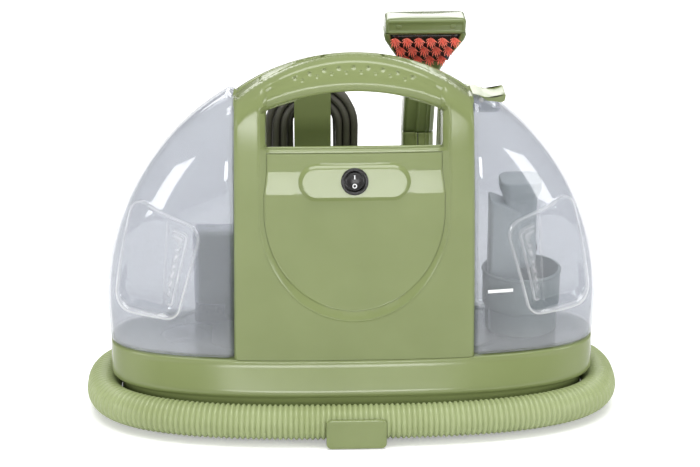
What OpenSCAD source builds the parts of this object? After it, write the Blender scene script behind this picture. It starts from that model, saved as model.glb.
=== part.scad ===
// Portable spot extractor: two lift-off tanks either side of a carrying band,
// on a base that the suction hose wraps round. The front faces -Y, +X is right.

/* [Base] */
// Length of the base at its rim
base_l = 402; // [392:1:412]
// Depth of the base at its rim
base_d = 128; // [124:1:132]
// Height of the rim that the tanks and the housing sit on
base_h = 62; // [58:1:66]
// How far the base flares out at the front and rear below the rim
base_flare = 8.6; // [7:0.2:9.4]
// Squareness of every outline seen from above, 2 is an ellipse
outline_n = 2.7; // [2.5:0.1:3]
// Wall of the base tray
base_wall = 3; // [2.5:0.1:3.5]
// Thickness of the base plate
plate_t = 2.8; // [2.4:0.1:3]
// Height of a rubber foot below the plate
foot_h = 3; // [2.8:0.1:3.2]
// Radius of a rubber foot
foot_r = 12; // [9:0.5:14]

/* [Tanks] */
// Half length of the machine at its widest level
tank_half_l = 203; // [198:1:208]
// Half depth of a tank at its widest level
tank_half_d = 62; // [60:0.5:63]
// Height of the widest level
widest_z = 95; // [90:1:100]
// Rise of the end arch above the widest level
dome_rise = 206; // [202:1:210]
// Rise of the front and rear curve above the widest level
front_rise = 215; // [210:1:225]
// Wall of a tank
tank_wall = 2.4; // [2:0.1:3]
// Gap between a tank and the band
tank_gap = 0.5; // [0.4:0.1:0.9]
// Depth of the finger recess in a tank
grip_depth = 9; // [6:0.5:11]
// Radius of the cap under the clean tank
cap_r = 20; // [18:0.5:22]
// Radius of the riser in the dirty tank
riser_r = 10.4; // [8:0.2:11]
// Height of the riser above the tank's floor
riser_h = 126; // [100:1:140]
// Radius of the separator cup
cup_r = 31; // [29:0.5:33]
// Height of the separator cup
cup_h = 53; // [40:1:60]
// Height of the float
float_h = 22; // [16:1:26]
// Travel of the float
float_travel = 22; // [14:1:24]

/* [Band and handle] */
// Width of the band at the rim
band_w = 196; // [190:1:200]
// Half depth of the band at the widest level
band_half_d = 64; // [62.5:0.5:65]
// Rise of the band's front curve above the widest level
band_rise = 236; // [232:1:242]
// Lean of the band's sides in degrees
band_draft = 0.7; // [0.5:0.1:0.9]
// Wall of the housing
shell_wall = 2.6; // [2.2:0.1:3]
// Top of the carrying handle
handle_z = 310; // [306:1:314]
// Radius of the arch seen from the front
arch_r = 148; // [144:1:153]
// Height of the handle bar at its middle
bar_h = 27; // [24:0.5:30]
// Radius along the handle's top edges
bar_edge_r = 13; // [11:0.5:14]
// Half width of the handle window
window_half_w = 71.5; // [69.5:0.5:72]
// Height of the lip below the window
lip_z = 240; // [237:1:243]
// Rear face of the band
rear_y = 46; // [44:0.5:47]
// Raised bead round the panel, half width
bead_half_w = 75; // [74.5:0.5:77]
// Width of the bead
bead_w = 3; // [2.4:0.2:3.6]
// How far the bead stands proud
bead_h = 1; // [0.8:0.1:1.6]

/* [Switch] */
// Height of the switch centre
switch_z = 215; // [212:1:217]
// Width of the stadium recess
pill_w = 88; // [80:1:94]
// Height of the stadium recess
pill_h = 25; // [24:0.5:27]
// Radius of the switch bezel
bezel_r = 11; // [10.5:0.25:11.5]
// Travel of the rocker from off to on, in degrees
rocker_deg = 16; // [12:1:18]

/* [Hose] */
// Outer diameter of the hose at its ribs
hose_d = 28.8; // [27.6:0.2:29.2]
// Bore of the hose
hose_bore = 22; // [19:0.5:22.5]
// Number of ribs
hose_ribs = 150; // [120:10:170]
// Gap between the hose and the base
hose_gap = 0.8; // [0.6:0.1:1.2]
// Height of the hose above the floor
hose_lift = 3.3; // [3.2:0.1:3.6]
// Width of a hose clip
clip_w = 49; // [40:1:56]
// Height of a hose clip
clip_h = 25.4; // [23:0.2:27]
// Thickness of a hose clip
clip_t = 2.4; // [2:0.1:2.6]

/* [Cord] */
// Diameter of the power cord
cord_d = 6; // [5.6:0.1:6.1]
// Distance between neighbouring turns
cord_pitch = 6.55; // [6.5:0.05:6.7]
// Radius of the tightest turn, at the middle of the cord
cord_turn_r = 18; // [17.6:0.2:19]
// Straight run of the hank between its folds
hank_run = 126; // [123:1:127]
// Sideways place of the cord post
post_x = -31; // [-34:0.5:-29]
// Width of the cord post
post_w = 30.5; // [28:0.5:34]
// Height of the upper fold's centre
fold_z = 226; // [225:1:228]

/* [Wand and tool] */
// Sideways place of the wand
wand_x = 60; // [58:0.5:62]
// Place of the wand behind the middle
wand_y = 82; // [81.5:0.25:83]
// Width of the wand
wand_w = 25; // [24.5:0.1:26]
// Depth of the wand
wand_d = 30; // [29.5:0.1:31]
// Bottom of the wand's collar
wand_z = 96; // [93:1:99]
// Joint between the wand and its tool
joint_z = 214; // [212:1:217]
// Top of the tool
tool_top = 316; // [314:1:319]
// Width of the tool's head
tool_w = 67; // [64:1:70]
// Spacing of the bristle tufts
tuft_pitch = 10.3; // [9.8:0.1:10.4]
// Radius of a tuft
tuft_r = 3.2; // [2.8:0.1:3.6]
// Length of a tuft
tuft_l = 8; // [6:0.5:10]
// Travel of the trigger, in degrees
trigger_deg = 10; // [8:1:11]

/* [Motor] */
// Radius of the suction motor
motor_r = 36; // [30:1:37]
// Height of the suction motor
motor_h = 74; // [66:1:78]
// Radius of the fan impeller
fan_r = 38; // [32:1:39]
// Blades of the impeller
fan_blades = 9; // [5:1:11]
// Radius of the motor shaft
shaft_r = 4; // [3:0.5:5]

/* [Fits] */
// Radial clearance of a running fit
run_fit = 0.05; // [0.03:0.01:0.08]
// Gap between pieces that move past each other
move_gap = 0.4; // [0.35:0.05:0.5]
// Gap between pieces that sit together
seat_gap = 0.3; // [0.25:0.05:0.35]

/* [Hidden] */

green = [0.63, 0.70, 0.45];
dark_green = [0.42, 0.47, 0.29];
smoke = [0.66, 0.70, 0.76, 0.5];
charcoal = [0.22, 0.22, 0.21];
steel = [0.72, 0.72, 0.74];
coral = [0.93, 0.36, 0.28];

// Base
cove_in = 8.2;
cove_top = 33;
cove_l = base_l / 2 - cove_in;
cove_d = base_d / 2 + base_flare - 0.8;
plate_z = foot_h;
tray_floor = plate_z + plate_t;
deck_z = base_h - base_wall;
screw_places = [[-150, -38], [-150, 38], [-20, -56], [-22, 57], [150, -38], [150, 38]];
foot_places = [[-128, -42], [-128, 42], [128, -42], [128, 42]];
boss_r = 4.5;
screw_r = 1.6;
foot_peg_r = 4;
tower_x = band_w / 2 + 1;
tower_w = 29;
tower_y = [22.5, 44];
tower_h = 104;

// Hose
hose_r = hose_d / 2;
hose_z = hose_lift + hose_r;
ring_l = cove_l + hose_gap + hose_r;
ring_d = cove_d + hose_gap + hose_r;
clip_gap = 0.5;
rear_clip_x = -84;
elbow_x = wand_x - 30;
elbow_neck_r = hose_z - tray_floor - 0.2;
elbow_r = hose_r - 1;
elbow_bore = 9;
elbow_neck_y = 54;
mouth_x = elbow_x - 16;

// Band
split_y = -22;
window_top_r = arch_r + 40;
panel_top = lip_z - 2.6;
bead_mid_z = 187;
bead_drop = 89;
panel_recess = 0.6;
bar_set = 1.6;
deck_wall = 3;
deck_fall = 0.42;
lean_z = 186;
housing_screw_places = [[-84, 84], [84, 84], [-84, 178], [84, 178]];

// Switch, in a frame whose -Y axis stands square to the panel
switch_tilt = 14;
boss_y = -2.6;
neck_r = bezel_r - 1.4;
rocker_hole_r = bezel_r - 2.8;
rocker_r = rocker_hole_r - 0.8;
rocker_pin_r = 1.2;
rocker_back = boss_y + 1.6;

// Motor and pump
motor_at = [0, -8];
mount_h = 6;
motor_z = base_h + mount_h;
shroud_z = motor_z + motor_h;
shroud_h = 30;
duct_r = 13;
duct_z = 203;
pump_at = [-62, 10];
pump_z = base_h + 8;
pump_r = 14;
plunger_r = 5;
tube_hole_r = 3.5;
line_at = [-41, 36];

// Tanks
tank_z0 = base_h + seat_gap;
tank_floor = tank_z0 + tank_wall;
neck_x = 140;
neck_out_r = cap_r - 3;
neck_in_r = cap_r - 6;
cap_z = base_h - 15;
socket_r = cap_r + 1.2;
tank_share = (tank_half_l - band_w / 2) / 105;
riser_x = band_w / 2 + 27 * tank_share;
cup_out = cup_r * tank_share;
cup_x = riser_x + cup_out - riser_r - 4.1;
float_x = cup_x + cup_out * 14.5 / 31;
guide_r = 2;
drain_x = 150;
drain_z = 112;
drain_y = 58;
drain_r = 8;
grip_turn = 24;
grip_lean = 5;
grip_x = 160;
grip_z = 143;

// Latch
latch_x = 104;
latch_drop = 5.6461;
latch_z = tank_top(0) - latch_drop;
latch_half = 13;
latch_pin_r = 2;
pocket_gap = 0.8;
pocket_x = 112;

// Cord
hank_y = rear_y + 8.4;
reverse_turns = [3, 5.5, 8];
hank_start = -0.135;
hank_end = 10.635;
run_share = 0.27;
fold_low_z = fold_z - hank_run;
arm_r = cord_turn_r - cord_d / 2 - 1.5;
post_t = 4.5;
relief_h = 22;
lip_y = hank_y + 3 * cord_pitch + cord_d / 2 + 1.1;
lip_t = 3;
lip_reach = cord_turn_r + 3 * cord_pitch + 7;
tail_l = 14;
tail_lean = 3.4;
plug_size = [22, 14, 29];
blade_l = 16;

// Wand
wand_wall = 2;
collar_r = hose_r + 3.1;
collar_h = 12;
tube_r = 8.5;
tube_y = wand_y + wand_d / 2 - wand_wall - tube_r - 0.2;
pivot_z = joint_z - 22;
pivot_y = wand_y - 8.5;
pivot_r = 1.5;
trigger_half = 6;
head_z = tool_top - 12;
field_top = head_z - 2;
field_low = head_z - 26;
field_lean = 8;

// ---------- curves ----------

// 1 in the middle of an outline, 0 at its ends
function bow(x, a) = pow(max(0, 1 - pow(min(1, abs(x) / a), outline_n)), 1 / outline_n);

// Point of an outline seen from above, at angle t
function ring_point(a, d, t) = [
  a * sign(cos(t)) * pow(abs(cos(t)), 2 / outline_n),
  d * sign(sin(t)) * pow(abs(sin(t)), 2 / outline_n)
];

function outline(a, d, steps = 72) = [for (i = [0 : steps - 1]) ring_point(a, d, 360 * (i + 0.5) / steps)];

// Half length of the domed body, and a half depth that shrinks with height
function half_l(z) = z <= widest_z
  ? tank_half_l - (widest_z - z) * 0.05
  : tank_half_l * sqrt(max(0, 1 - pow((z - widest_z) / dome_rise, 2)));
function dome(z, d, rise) = z <= widest_z
  ? d
  : d * pow(max(0, 1 - pow((z - widest_z) / rise, 2.6)), 1 / 2.6);

// Half width of the band at height z, the arch above it and the top of the window
function band_half(z) = band_w / 2 - (z - base_h) * tan(band_draft);
function arch_z(x) = handle_z - arch_r + sqrt(arch_r * arch_r - x * x);
function window_z(x) = handle_z - bar_h - window_top_r + sqrt(window_top_r * window_top_r - x * x);

// Rounding of an edge of radius r, at distance d from it
function edge(d, r) = d < r ? r - sqrt(max(0, r * r - (r - d) * (r - d))) : 0;

// Front and rear faces of the band; the handle bar's front lies back a little
function bar_recess(x, z) = abs(x) < window_half_w - 1.5 && z > lip_z + 14 ? bar_set : 0;
function front_y(x, z, top, off) =
  -dome(z, band_half_d, band_rise) * bow(x, tank_half_l) + off + bar_recess(x, z) + edge(top - z, bar_edge_r);
function lean_y(z) = z < lean_z ? rear_y : rear_y - (z - lean_z) * deck_fall;
function rear_face_y(x, z, top, off) = lean_y(z) - off - edge(top - z, bar_edge_r - 1);

function sorted(v) = len(v) <= 1 ? v : let (
  p = v[0],
  rest = [for (i = [1 : len(v) - 1]) v[i]]
) concat(sorted([for (e = rest) if (e < p) e]), [p], sorted([for (e = rest) if (e >= p) e]));

function unit(v) = v / norm(v);
function clamp(v) = min(1, max(0, v));

// Running length at each point of a path
function lengths(p) = [
  for (i = 0, s = 0; i < len(p); i = i + 1, s = i < len(p) ? s + norm(p[i] - p[i - 1]) : s) s
];

// ---------- solids from curves ----------

// A closed skin through rings of points that run anticlockwise seen from the end
module skin(rings) {
  n = len(rings[0]);
  m = len(rings);
  sides = [
    for (k = [0 : m - 2], j = [0 : n - 1])
      let (a = k * n + j, b = k * n + (j + 1) % n, c = b + n, d = a + n)
        each [[a, d, c], [a, c, b]]
  ];
  low = [for (j = [0 : n - 1]) j];
  high = [for (j = [n - 1 : -1 : 0]) (m - 1) * n + j];
  polyhedron([for (r = rings, p = r) p], concat(sides, [low, high]), convexity = 8);
}

// Half of the band between a face and the plane at back_y.
// side is -1 for the front and 1 for the rear; off is the distance inside the outer face
module band_half_solid(side, off, cols, rows, z_low, flat_top, back_y) {
  arched = flat_top == 0;
  us = sorted(concat(
    [for (i = [0 : cols]) -1 + 2 * i / cols],
    arched && side < 0 ? [-0.738, -0.728, 0.728, 0.738] : []
  ));
  steps = [0, 0.06, 0.22, 0.5];
  vs = arched
    ? concat([for (j = [0 : rows]) [j / rows, 1]], [for (j = [3 : -1 : 0]) [1, steps[j]]])
    : [for (j = [0 : rows]) [j / rows, 0]];
  nu = len(us);
  nv = len(vs);
  face = [
    for (j = [0 : nv - 1], i = [0 : nu - 1])
      let (
        top = arched ? arch_z(us[i] * band_half(handle_z - 30)) : flat_top,
        z = z_low + (top - vs[j][1] * bar_edge_r - z_low) * vs[j][0],
        x = us[i] * (band_half(z) - max(0, off)),
        y = side < 0
          ? front_y(x, z, arched ? top : 1000, off)
          : rear_face_y(x, z, arched ? top : 1000, off)
      )
        [x, y, z]
  ];
  rim = concat(
    [for (i = [0 : nu - 1]) i],
    [for (j = [1 : nv - 1]) j * nu + nu - 1],
    [for (i = [nu - 2 : -1 : 0]) (nv - 1) * nu + i],
    [for (j = [nv - 2 : -1 : 1]) j * nu]
  );
  base = nu * nv;
  nr = len(rim);
  back = [for (k = rim) [face[k][0], back_y, face[k][2]]];
  grid = [
    for (j = [0 : nv - 2], i = [0 : nu - 2])
      let (a = j * nu + i, b = a + 1, c = a + nu, d = c + 1)
        each side < 0 ? [[a, c, d], [a, d, b]] : [[a, d, c], [a, b, d]]
  ];
  walls = [
    for (k = [0 : nr - 1])
      let (a = rim[k], b = rim[(k + 1) % nr], c = base + k, d = base + (k + 1) % nr)
        each side < 0 ? [[a, b, d], [a, d, c]] : [[a, d, b], [a, c, d]]
  ];
  hub = base + nr;
  cap = [
    for (k = [0 : nr - 1])
      let (c = base + k, d = base + (k + 1) % nr)
        side < 0 ? [c, d, hub] : [d, c, hub]
  ];
  polyhedron(
    concat(face, back, [[0, back_y, (z_low + back[0][2]) / 2 + 60]]),
    concat(grid, walls, cap),
    convexity = 8
  );
}

// Outline in the XZ plane, drawn from y0 to y1
module along_y(y0, y1) {
  translate([0, y1, 0])
    rotate([90, 0, 0])
      linear_extrude(y1 - y0)
        children();
}

// Outline in the YZ plane, drawn from x0 to x1
module along_x(x0, x1) {
  translate([x0, 0, 0])
    rotate([90, 0, 90])
      linear_extrude(x1 - x0)
        children();
}

module level(a, d, z0, z1, steps = 72) {
  translate([0, 0, z0])
    linear_extrude(z1 - z0)
      polygon(outline(a, d, steps));
}

// Cylinder along Y at x, z
module y_rod(x, z, y0, y1, r, sides = 48) {
  translate([x, y0, z])
    rotate([-90, 0, 0])
      cylinder(h = y1 - y0, r = r, $fn = sides);
}

// Cylinder along Z between two heights
module z_rod(x, y, z0, z1, r, sides = 48) {
  translate([x, y, z0])
    cylinder(h = z1 - z0, r = r, $fn = sides);
}

// Rod of radius r from p to q
module rod(p, q, r) {
  v = q - p;
  translate(p)
    rotate([0, acos(v[2] / norm(v)), atan2(v[1], v[0])])
      cylinder(h = norm(v), r = r, $fn = 32);
}

// Round bar through the points, with ball corners
module run(points, r) {
  for (i = [0 : len(points) - 2])
    rod(points[i], points[i + 1], r);
  for (i = [1 : 1 : len(points) - 2])
    translate(points[i])
      sphere(r = r, $fn = 32);
}

// Rings of a mitred tube along the points p
function miter(p, i) = i == len(p) - 1
  ? unit(p[i] - p[i - 1])
  : unit(unit(p[i] - p[i - 1]) + unit(p[i + 1] - p[i]));
function onto(q, d, p, n) = q + d * (((p - q) * n) / (d * n));
function mitred(p, r, sides) =
  let (
    d = unit(p[1] - p[0]),
    a = unit(cross(d, abs(d[2]) > 0.9 ? [1, 0, 0] : [0, 0, 1])),
    b = cross(d, a)
  )
    [
      for (
        i = 0, ring = [for (k = [0 : sides - 1]) p[0] + r * (cos(360 * k / sides) * a + sin(360 * k / sides) * b)];
        i < len(p);
        i = i + 1,
        ring = i < len(p) ? [for (q = ring) onto(q, unit(p[i] - p[i - 1]), p[i], miter(p, i))] : ring
      )
        ring
    ];

// Tube whose outer rings run one way and whose bore's rings run back
module bored(rings) {
  n = len(rings[0]);
  m = len(rings);
  polyhedron(
    [for (r = rings, p = r) p],
    [
      for (k = [0 : m - 1], j = [0 : n - 1])
        let (a = k * n + j, b = k * n + (j + 1) % n, next = (k + 1) % m, c = next * n + (j + 1) % n, d = next * n + j)
          each [[a, d, c], [a, c, b]]
    ],
    convexity = 10
  );
}

// Pipe through the points, open at both ends
module pipe(points, r, bore, sides = 16) {
  inner = mitred(points, bore, sides);
  bored(concat(mitred(points, r, sides), [for (i = [len(inner) - 1 : -1 : 0]) inner[i]]));
}

// Rectangle with round corners, centred
module soft_rect(w, h, r) {
  square([w - 2 * r, h], center = true);
  square([w, h - 2 * r], center = true);
  for (x = [-1, 1], y = [-1, 1])
    translate([x * (w / 2 - r), y * (h / 2 - r)])
      circle(r = r, $fn = 32);
}

// The same as points, anticlockwise
function soft_ring(w, h, r, steps = 4) = [
  for (q = [0 : 3], i = [0 : steps - 1])
    let (
      a = 90 * q + 90 * i / (steps - 1),
      cx = (q == 0 || q == 3 ? 1 : -1) * (w / 2 - r),
      cy = (q < 2 ? 1 : -1) * (h / 2 - r)
    )
      [cx + r * cos(a), cy + r * sin(a)]
];

module stadium(w, h) {
  square([w - h, h], center = true);
  for (x = [-1, 1])
    translate([x * (w - h) / 2, 0])
      circle(d = h, $fn = 64);
}

// ---------- base ----------

module base_tray() {
  flare_levels = [
    [cove_top, 0, 1], [cove_top + 3, 0.4, 1.08], [base_h - 3, 0, 0.05], [base_h, -0.6, -0.05]
  ];
  color(green)
    difference() {
      union() {
        level(cove_l, cove_d, plate_z, cove_top + 1);
        skin([
          for (s = flare_levels)
            [for (p = outline(base_l / 2 + s[1], base_d / 2 + s[2] * base_flare, 64)) [p[0], p[1], s[0]]]
        ]);
        // Tower beside the band that carries the pump's wiring
        translate([-tower_x - tower_w / 2, (tower_y[0] + tower_y[1]) / 2, deck_z])
          linear_extrude(tower_h + base_wall)
            soft_rect(tower_w, tower_y[1] - tower_y[0], 5);
      }
      difference() {
        union() {
          level(cove_l - base_wall, cove_d - base_wall, plate_z - 1, cove_top, 56);
          level(cove_l - base_wall, base_d / 2 - base_wall - 1, cove_top - 1, deck_z, 56);
        }
        for (p = screw_places)
          z_rod(p[0], p[1], tray_floor + seat_gap, base_h, boss_r, 32);
      }
      for (p = screw_places)
        z_rod(p[0], p[1], plate_z, tray_floor + 14, screw_r + run_fit, 24);
      // Ports for the dirty water, the clean tank's socket, the water tube and the spray line
      z_rod(riser_x, 0, deck_z - 1, base_h + 1, riser_r + 5.9);
      z_rod(-neck_x, 0, deck_z - 1, base_h + 1, socket_r + 1.9 + seat_gap);
      z_rod(pump_at[0], pump_at[1], deck_z - 1, base_h + 1, tube_hole_r + seat_gap);
      z_rod(line_at[0], line_at[1], deck_z - 1, base_h + 1, 2.5 + seat_gap);
      y_rod(elbow_x, hose_z, base_d / 4, base_d, elbow_neck_r + seat_gap);
    }
}

module base_plate() {
  color(dark_green)
    difference() {
      level(cove_l - base_wall - seat_gap, cove_d - base_wall - seat_gap, plate_z, tray_floor, 56);
      for (p = screw_places) {
        z_rod(p[0], p[1], plate_z - 1, tray_floor + 1, screw_r + 0.4, 24);
        z_rod(p[0], p[1], plate_z - 1, plate_z + 1.2, screw_r * 2.4, 24);
      }
      for (p = foot_places)
        z_rod(p[0], p[1], plate_z - 1, tray_floor + 1, foot_peg_r + run_fit, 32);
    }
}

module rubber_feet() {
  color(charcoal)
    for (p = foot_places) {
      z_rod(p[0], p[1], 0, foot_h, foot_r);
      z_rod(p[0], p[1], 0, tray_floor, foot_peg_r, 32);
    }
}

module base_screws() {
  color(steel)
    for (p = screw_places) {
      z_rod(p[0], p[1], plate_z + 0.1, plate_z + 1.1, screw_r * 2.2, 24);
      z_rod(p[0], p[1], plate_z + 0.1, plate_z + 12, screw_r, 24);
    }
}

// A tongue under the base plate that turns up in front of the hose
module hose_clip() {
  y_in = ring_d + hose_r + clip_gap;
  tongue_y = cove_d - 12;
  translate([-clip_w / 2, -y_in - clip_t, plate_z - clip_t])
    cube([clip_w, y_in + clip_t - tongue_y, clip_t]);
  along_y(-y_in - clip_t, -y_in)
    translate([0, plate_z - clip_t + clip_h / 2]) {
      soft_rect(clip_w, clip_h, 6);
      translate([-clip_w / 2, -clip_h / 2])
        square([clip_w, clip_h / 2]);
    }
}

module hose_clips() {
  color(green) {
    hose_clip();
    translate([rear_clip_x, 0, 0])
      rotate([0, 0, 180])
        hose_clip();
  }
}

// ---------- band ----------

module window_outline() {
  w = window_half_w;
  polygon(concat(
    [[-w, lip_z], [w, lip_z]],
    [for (i = [8 : -1 : -8]) [w * i / 8, window_z(w * i / 8)]]
  ));
}

lip_back = -dome(lip_z, band_half_d, band_rise) + 8;
function deck_at(y) = lip_z - max(0, y - lip_back) * deck_fall;

// Region behind the lip, above the falling deck
module deck_cut() {
  y1 = rear_y + 20;
  along_x(-window_half_w, window_half_w)
    polygon([[lip_back, lip_z], [y1, deck_at(y1)], [y1, lip_z + 20], [lip_back, lip_z + 20]]);
}

// The space inside the housing, from the rim to under the deck
module housing_space() {
  y1 = rear_y + 20;
  w = band_half(lip_z) - shell_wall - 0.4;
  along_x(-w, w)
    polygon([
      [-90, base_h - 2], [y1, base_h - 2], [y1, deck_at(y1) - deck_wall],
      [lip_back, lip_z - deck_wall], [-90, lip_z - deck_wall]
    ]);
}

module u_outline(half_w, drop, top) {
  polygon(concat(
    [[half_w, top], [-half_w, top]],
    [for (i = [0 : 36]) [-half_w * cos(i * 5), bead_mid_z - drop * sin(i * 5)]]
  ));
}

// Slot for the latch's hook, with the keeper that it holds left standing
module latch_notch() {
  side = band_half(latch_z);
  w = latch_half + move_gap;
  translate([side - 7.6, -w, latch_z - 3])
    cube([4.1, 2 * w, 60]);
  translate([side - 4, -w, latch_z + 2.5])
    cube([20, 2 * w, 60]);
}

module front_housing() {
  color(green)
    difference() {
      union() {
        band_half_solid(-1, 0, 12, 14, base_h, 0, split_y);
        intersection() {
          band_half_solid(-1, -bead_h, 12, 10, base_h, lip_z + 30, split_y - 1);
          along_y(-band_half_d - 8, split_y - 14)
            difference() {
              u_outline(bead_half_w + bead_w / 2, bead_drop + bead_w / 2, lip_z + 24);
              u_outline(bead_half_w - bead_w / 2, bead_drop - bead_w / 2, lip_z + 60);
            }
        }
      }
      intersection() {
        band_half_solid(-1, shell_wall, 6, 6, base_h - 1, lip_z, split_y + 1);
        housing_space();
      }
      along_y(-band_half_d - 10, split_y - 14)
        u_outline(bead_half_w - bead_w / 2, bead_drop - bead_w / 2, panel_top);
      along_y(-band_half_d - 10, split_y + 1)
        window_outline();
      deck_cut();
    }
}

// Places children on the panel's face at the switch
module at_switch() {
  translate([0, panel_recess - dome(switch_z, band_half_d, band_rise), switch_z])
    rotate([-switch_tilt, 0, 0])
      children();
}

module front_panel() {
  inset = bead_w / 2 + seat_gap;
  color(green)
    difference() {
      union() {
        difference() {
          intersection() {
            band_half_solid(-1, panel_recess, 12, 10, base_h, lip_z + 2, split_y - 1);
            along_y(-band_half_d - 10, split_y - 16)
              u_outline(bead_half_w - inset, bead_drop - inset, panel_top - seat_gap);
          }
          band_half_solid(-1, shell_wall + panel_recess, 12, 10, base_h - 1, lip_z + 3, split_y + 1);
        }
        at_switch()
          along_y(boss_y, 2.4)
            stadium(pill_w, pill_h);
      }
      at_switch()
        y_rod(0, 0, -10, 40, neck_r + seat_gap, 64);
    }
}

module rear_housing() {
  color(green)
    difference() {
      union() {
        difference() {
          band_half_solid(1, 0, 8, 12, base_h, 0, split_y);
          intersection() {
            band_half_solid(1, shell_wall, 4, 6, base_h - 1, lip_z, split_y - 1);
            housing_space();
          }
        }
        for (p = housing_screw_places)
          y_rod(p[0], p[1], rear_y - 15, rear_y - 1, boss_r, 32);
      }
      along_y(split_y - 1, rear_y + 10)
        window_outline();
      deck_cut();
      latch_notch();
      // Exhaust slots beside the cord
      for (i = [0 : 9])
        along_y(rear_y - 10, rear_y + 2)
          translate([22, 106 + i * 7])
            stadium(26, 3);
      for (p = housing_screw_places) {
        y_rod(p[0], p[1], rear_y - 14, rear_y + 2, screw_r + run_fit, 24);
        y_rod(p[0], p[1], rear_y - 1.4, rear_y + 2, screw_r * 2.4, 24);
      }
      translate([band_half(duct_z) - 10, motor_at[1], duct_z])
        rotate([0, 90, 0])
          cylinder(h = 20, r = duct_r + seat_gap, $fn = 48);
    }
}

module housing_screws() {
  color(steel)
    for (p = housing_screw_places) {
      y_rod(p[0], p[1], rear_y - 1.3, rear_y - 0.2, screw_r * 2.2, 24);
      y_rod(p[0], p[1], rear_y - 13, rear_y - 0.2, screw_r, 24);
    }
}

// ---------- switch ----------

module switch_bezel() {
  color(charcoal)
    at_switch()
      difference() {
        union() {
          y_rod(0, 0, boss_y - 1.6, boss_y, bezel_r, 64);
          y_rod(0, 0, boss_y - 1, boss_y + 8, neck_r, 64);
        }
        y_rod(0, 0, boss_y - 4, boss_y + 12, rocker_hole_r, 64);
        translate([-neck_r - 1, rocker_back, 0])
          rotate([0, 90, 0])
            cylinder(h = 2 * neck_r + 2, r = rocker_pin_r + run_fit, $fn = 24);
      }
}

module switch_body() {
  color(charcoal)
    at_switch() {
      translate([-9, boss_y + 8, -8])
        cube([18, 16, 16]);
      for (x = [-5, 5])
        translate([x - 0.4, boss_y + 23, -3])
          cube([0.8, 9, 6]);
    }
}

// Rocker at rest with its lower half in; a V of two faces turned half its travel back
module switch_rocker() {
  color([0.1, 0.1, 0.1])
    at_switch()
      translate([0, rocker_back, 0]) {
        rotate([rocker_deg / 2, 0, 0])
          intersection() {
            y_rod(0, 0, -4, 3, rocker_r);
            along_x(-rocker_r, rocker_r)
              polygon([[-3.2, rocker_r + 1], [-2.2, 0], [-3.2, -rocker_r - 1], [2.4, -rocker_r - 1], [2.4, rocker_r + 1]]);
          }
        translate([-neck_r + 0.2, 0, 0])
          rotate([0, 90, 0])
            cylinder(h = 2 * neck_r - 0.4, r = rocker_pin_r, $fn = 24);
      }
}

// ---------- motor, fan and pump ----------

module motor_housing() {
  color(steel)
    translate([motor_at[0], motor_at[1], 0])
      difference() {
        union() {
          z_rod(0, 0, motor_z, motor_z + 8, motor_r - 5, 64);
          z_rod(0, 0, motor_z + 8, shroud_z - 8, motor_r, 64);
          z_rod(0, 0, shroud_z - 8, shroud_z, motor_r - 5, 64);
        }
        z_rod(0, 0, motor_z - 1, shroud_z + 1, shaft_r + run_fit);
        for (i = [0 : 7])
          rotate([0, 0, i * 45])
            translate([motor_r - 3, -3, motor_z + 16])
              cube([6, 6, motor_h - 32]);
      }
}

module motor_mount() {
  color(charcoal)
    translate([motor_at[0], motor_at[1], 0])
      difference() {
        z_rod(0, 0, base_h, motor_z, motor_r - 4);
        z_rod(0, 0, base_h - 1, motor_z + 1, motor_r - 16);
      }
}

module motor_shaft() {
  color(steel)
    z_rod(motor_at[0], motor_at[1], base_h + 1, shroud_z + shroud_h - 8, shaft_r);
}

module fan_impeller() {
  z0 = shroud_z + 6;
  color(steel)
    translate([motor_at[0], motor_at[1], 0])
      difference() {
        union() {
          z_rod(0, 0, z0, z0 + 2, fan_r, 64);
          z_rod(0, 0, z0, z0 + 12, shaft_r + 4);
          translate([0, 0, z0 + 1])
            linear_extrude(12)
              for (b = [0 : fan_blades - 1])
                rotate(360 * b / fan_blades)
                  polygon(concat(
                    [for (i = [0 : 8]) fan_r * (0.3 + 0.69 * i / 8) * [cos(6 * i), -sin(6 * i)]],
                    [for (i = [8 : -1 : 0]) fan_r * (0.3 + 0.69 * i / 8) * [cos(6 * i - 3.4), -sin(6 * i - 3.4)]]
                  ));
          difference() {
            z_rod(0, 0, z0 + 12, z0 + 13.5, fan_r, 64);
            z_rod(0, 0, z0 + 11, z0 + 15, fan_r * 0.42, 48);
          }
        }
        z_rod(0, 0, z0 - 1, z0 + 20, shaft_r + run_fit / 2);
      }
}

module fan_shroud() {
  color(charcoal)
    translate([motor_at[0], motor_at[1], 0])
      difference() {
        z_rod(0, 0, shroud_z, shroud_z + shroud_h, fan_r + 4, 64);
        z_rod(0, 0, shroud_z + 3, shroud_z + shroud_h - 3, fan_r + 1.6, 64);
        z_rod(0, 0, shroud_z - 1, shroud_z + 4, shaft_r + 5);
        z_rod(0, 0, shroud_z + 10, shroud_z + shroud_h + 1, duct_r);
        translate([-14, fan_r - 8, shroud_z + 6])
          cube([28, 20, 16]);
      }
}

module suction_duct() {
  color(charcoal)
    pipe([
      [motor_at[0], motor_at[1], shroud_z + shroud_h],
      [motor_at[0], motor_at[1], duct_z],
      [band_half(duct_z) - 0.4, motor_at[1], duct_z]
    ], duct_r, duct_r - 2);
}

module pump_body() {
  color(charcoal)
    translate([pump_at[0], pump_at[1], 0])
      difference() {
        union() {
          z_rod(0, 0, pump_z, pump_z + 46, pump_r - 4);
          translate([-pump_r, -pump_r, pump_z + 8])
            cube([2 * pump_r, 2 * pump_r, 26]);
          translate([-pump_r, -pump_r, base_h])
            cube([4, 2 * pump_r, 20]);
          translate([pump_r - 4, -pump_r, base_h])
            cube([4, 2 * pump_r, 20]);
        }
        z_rod(0, 0, pump_z + 20, pump_z + 50, plunger_r + run_fit);
      }
}

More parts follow.
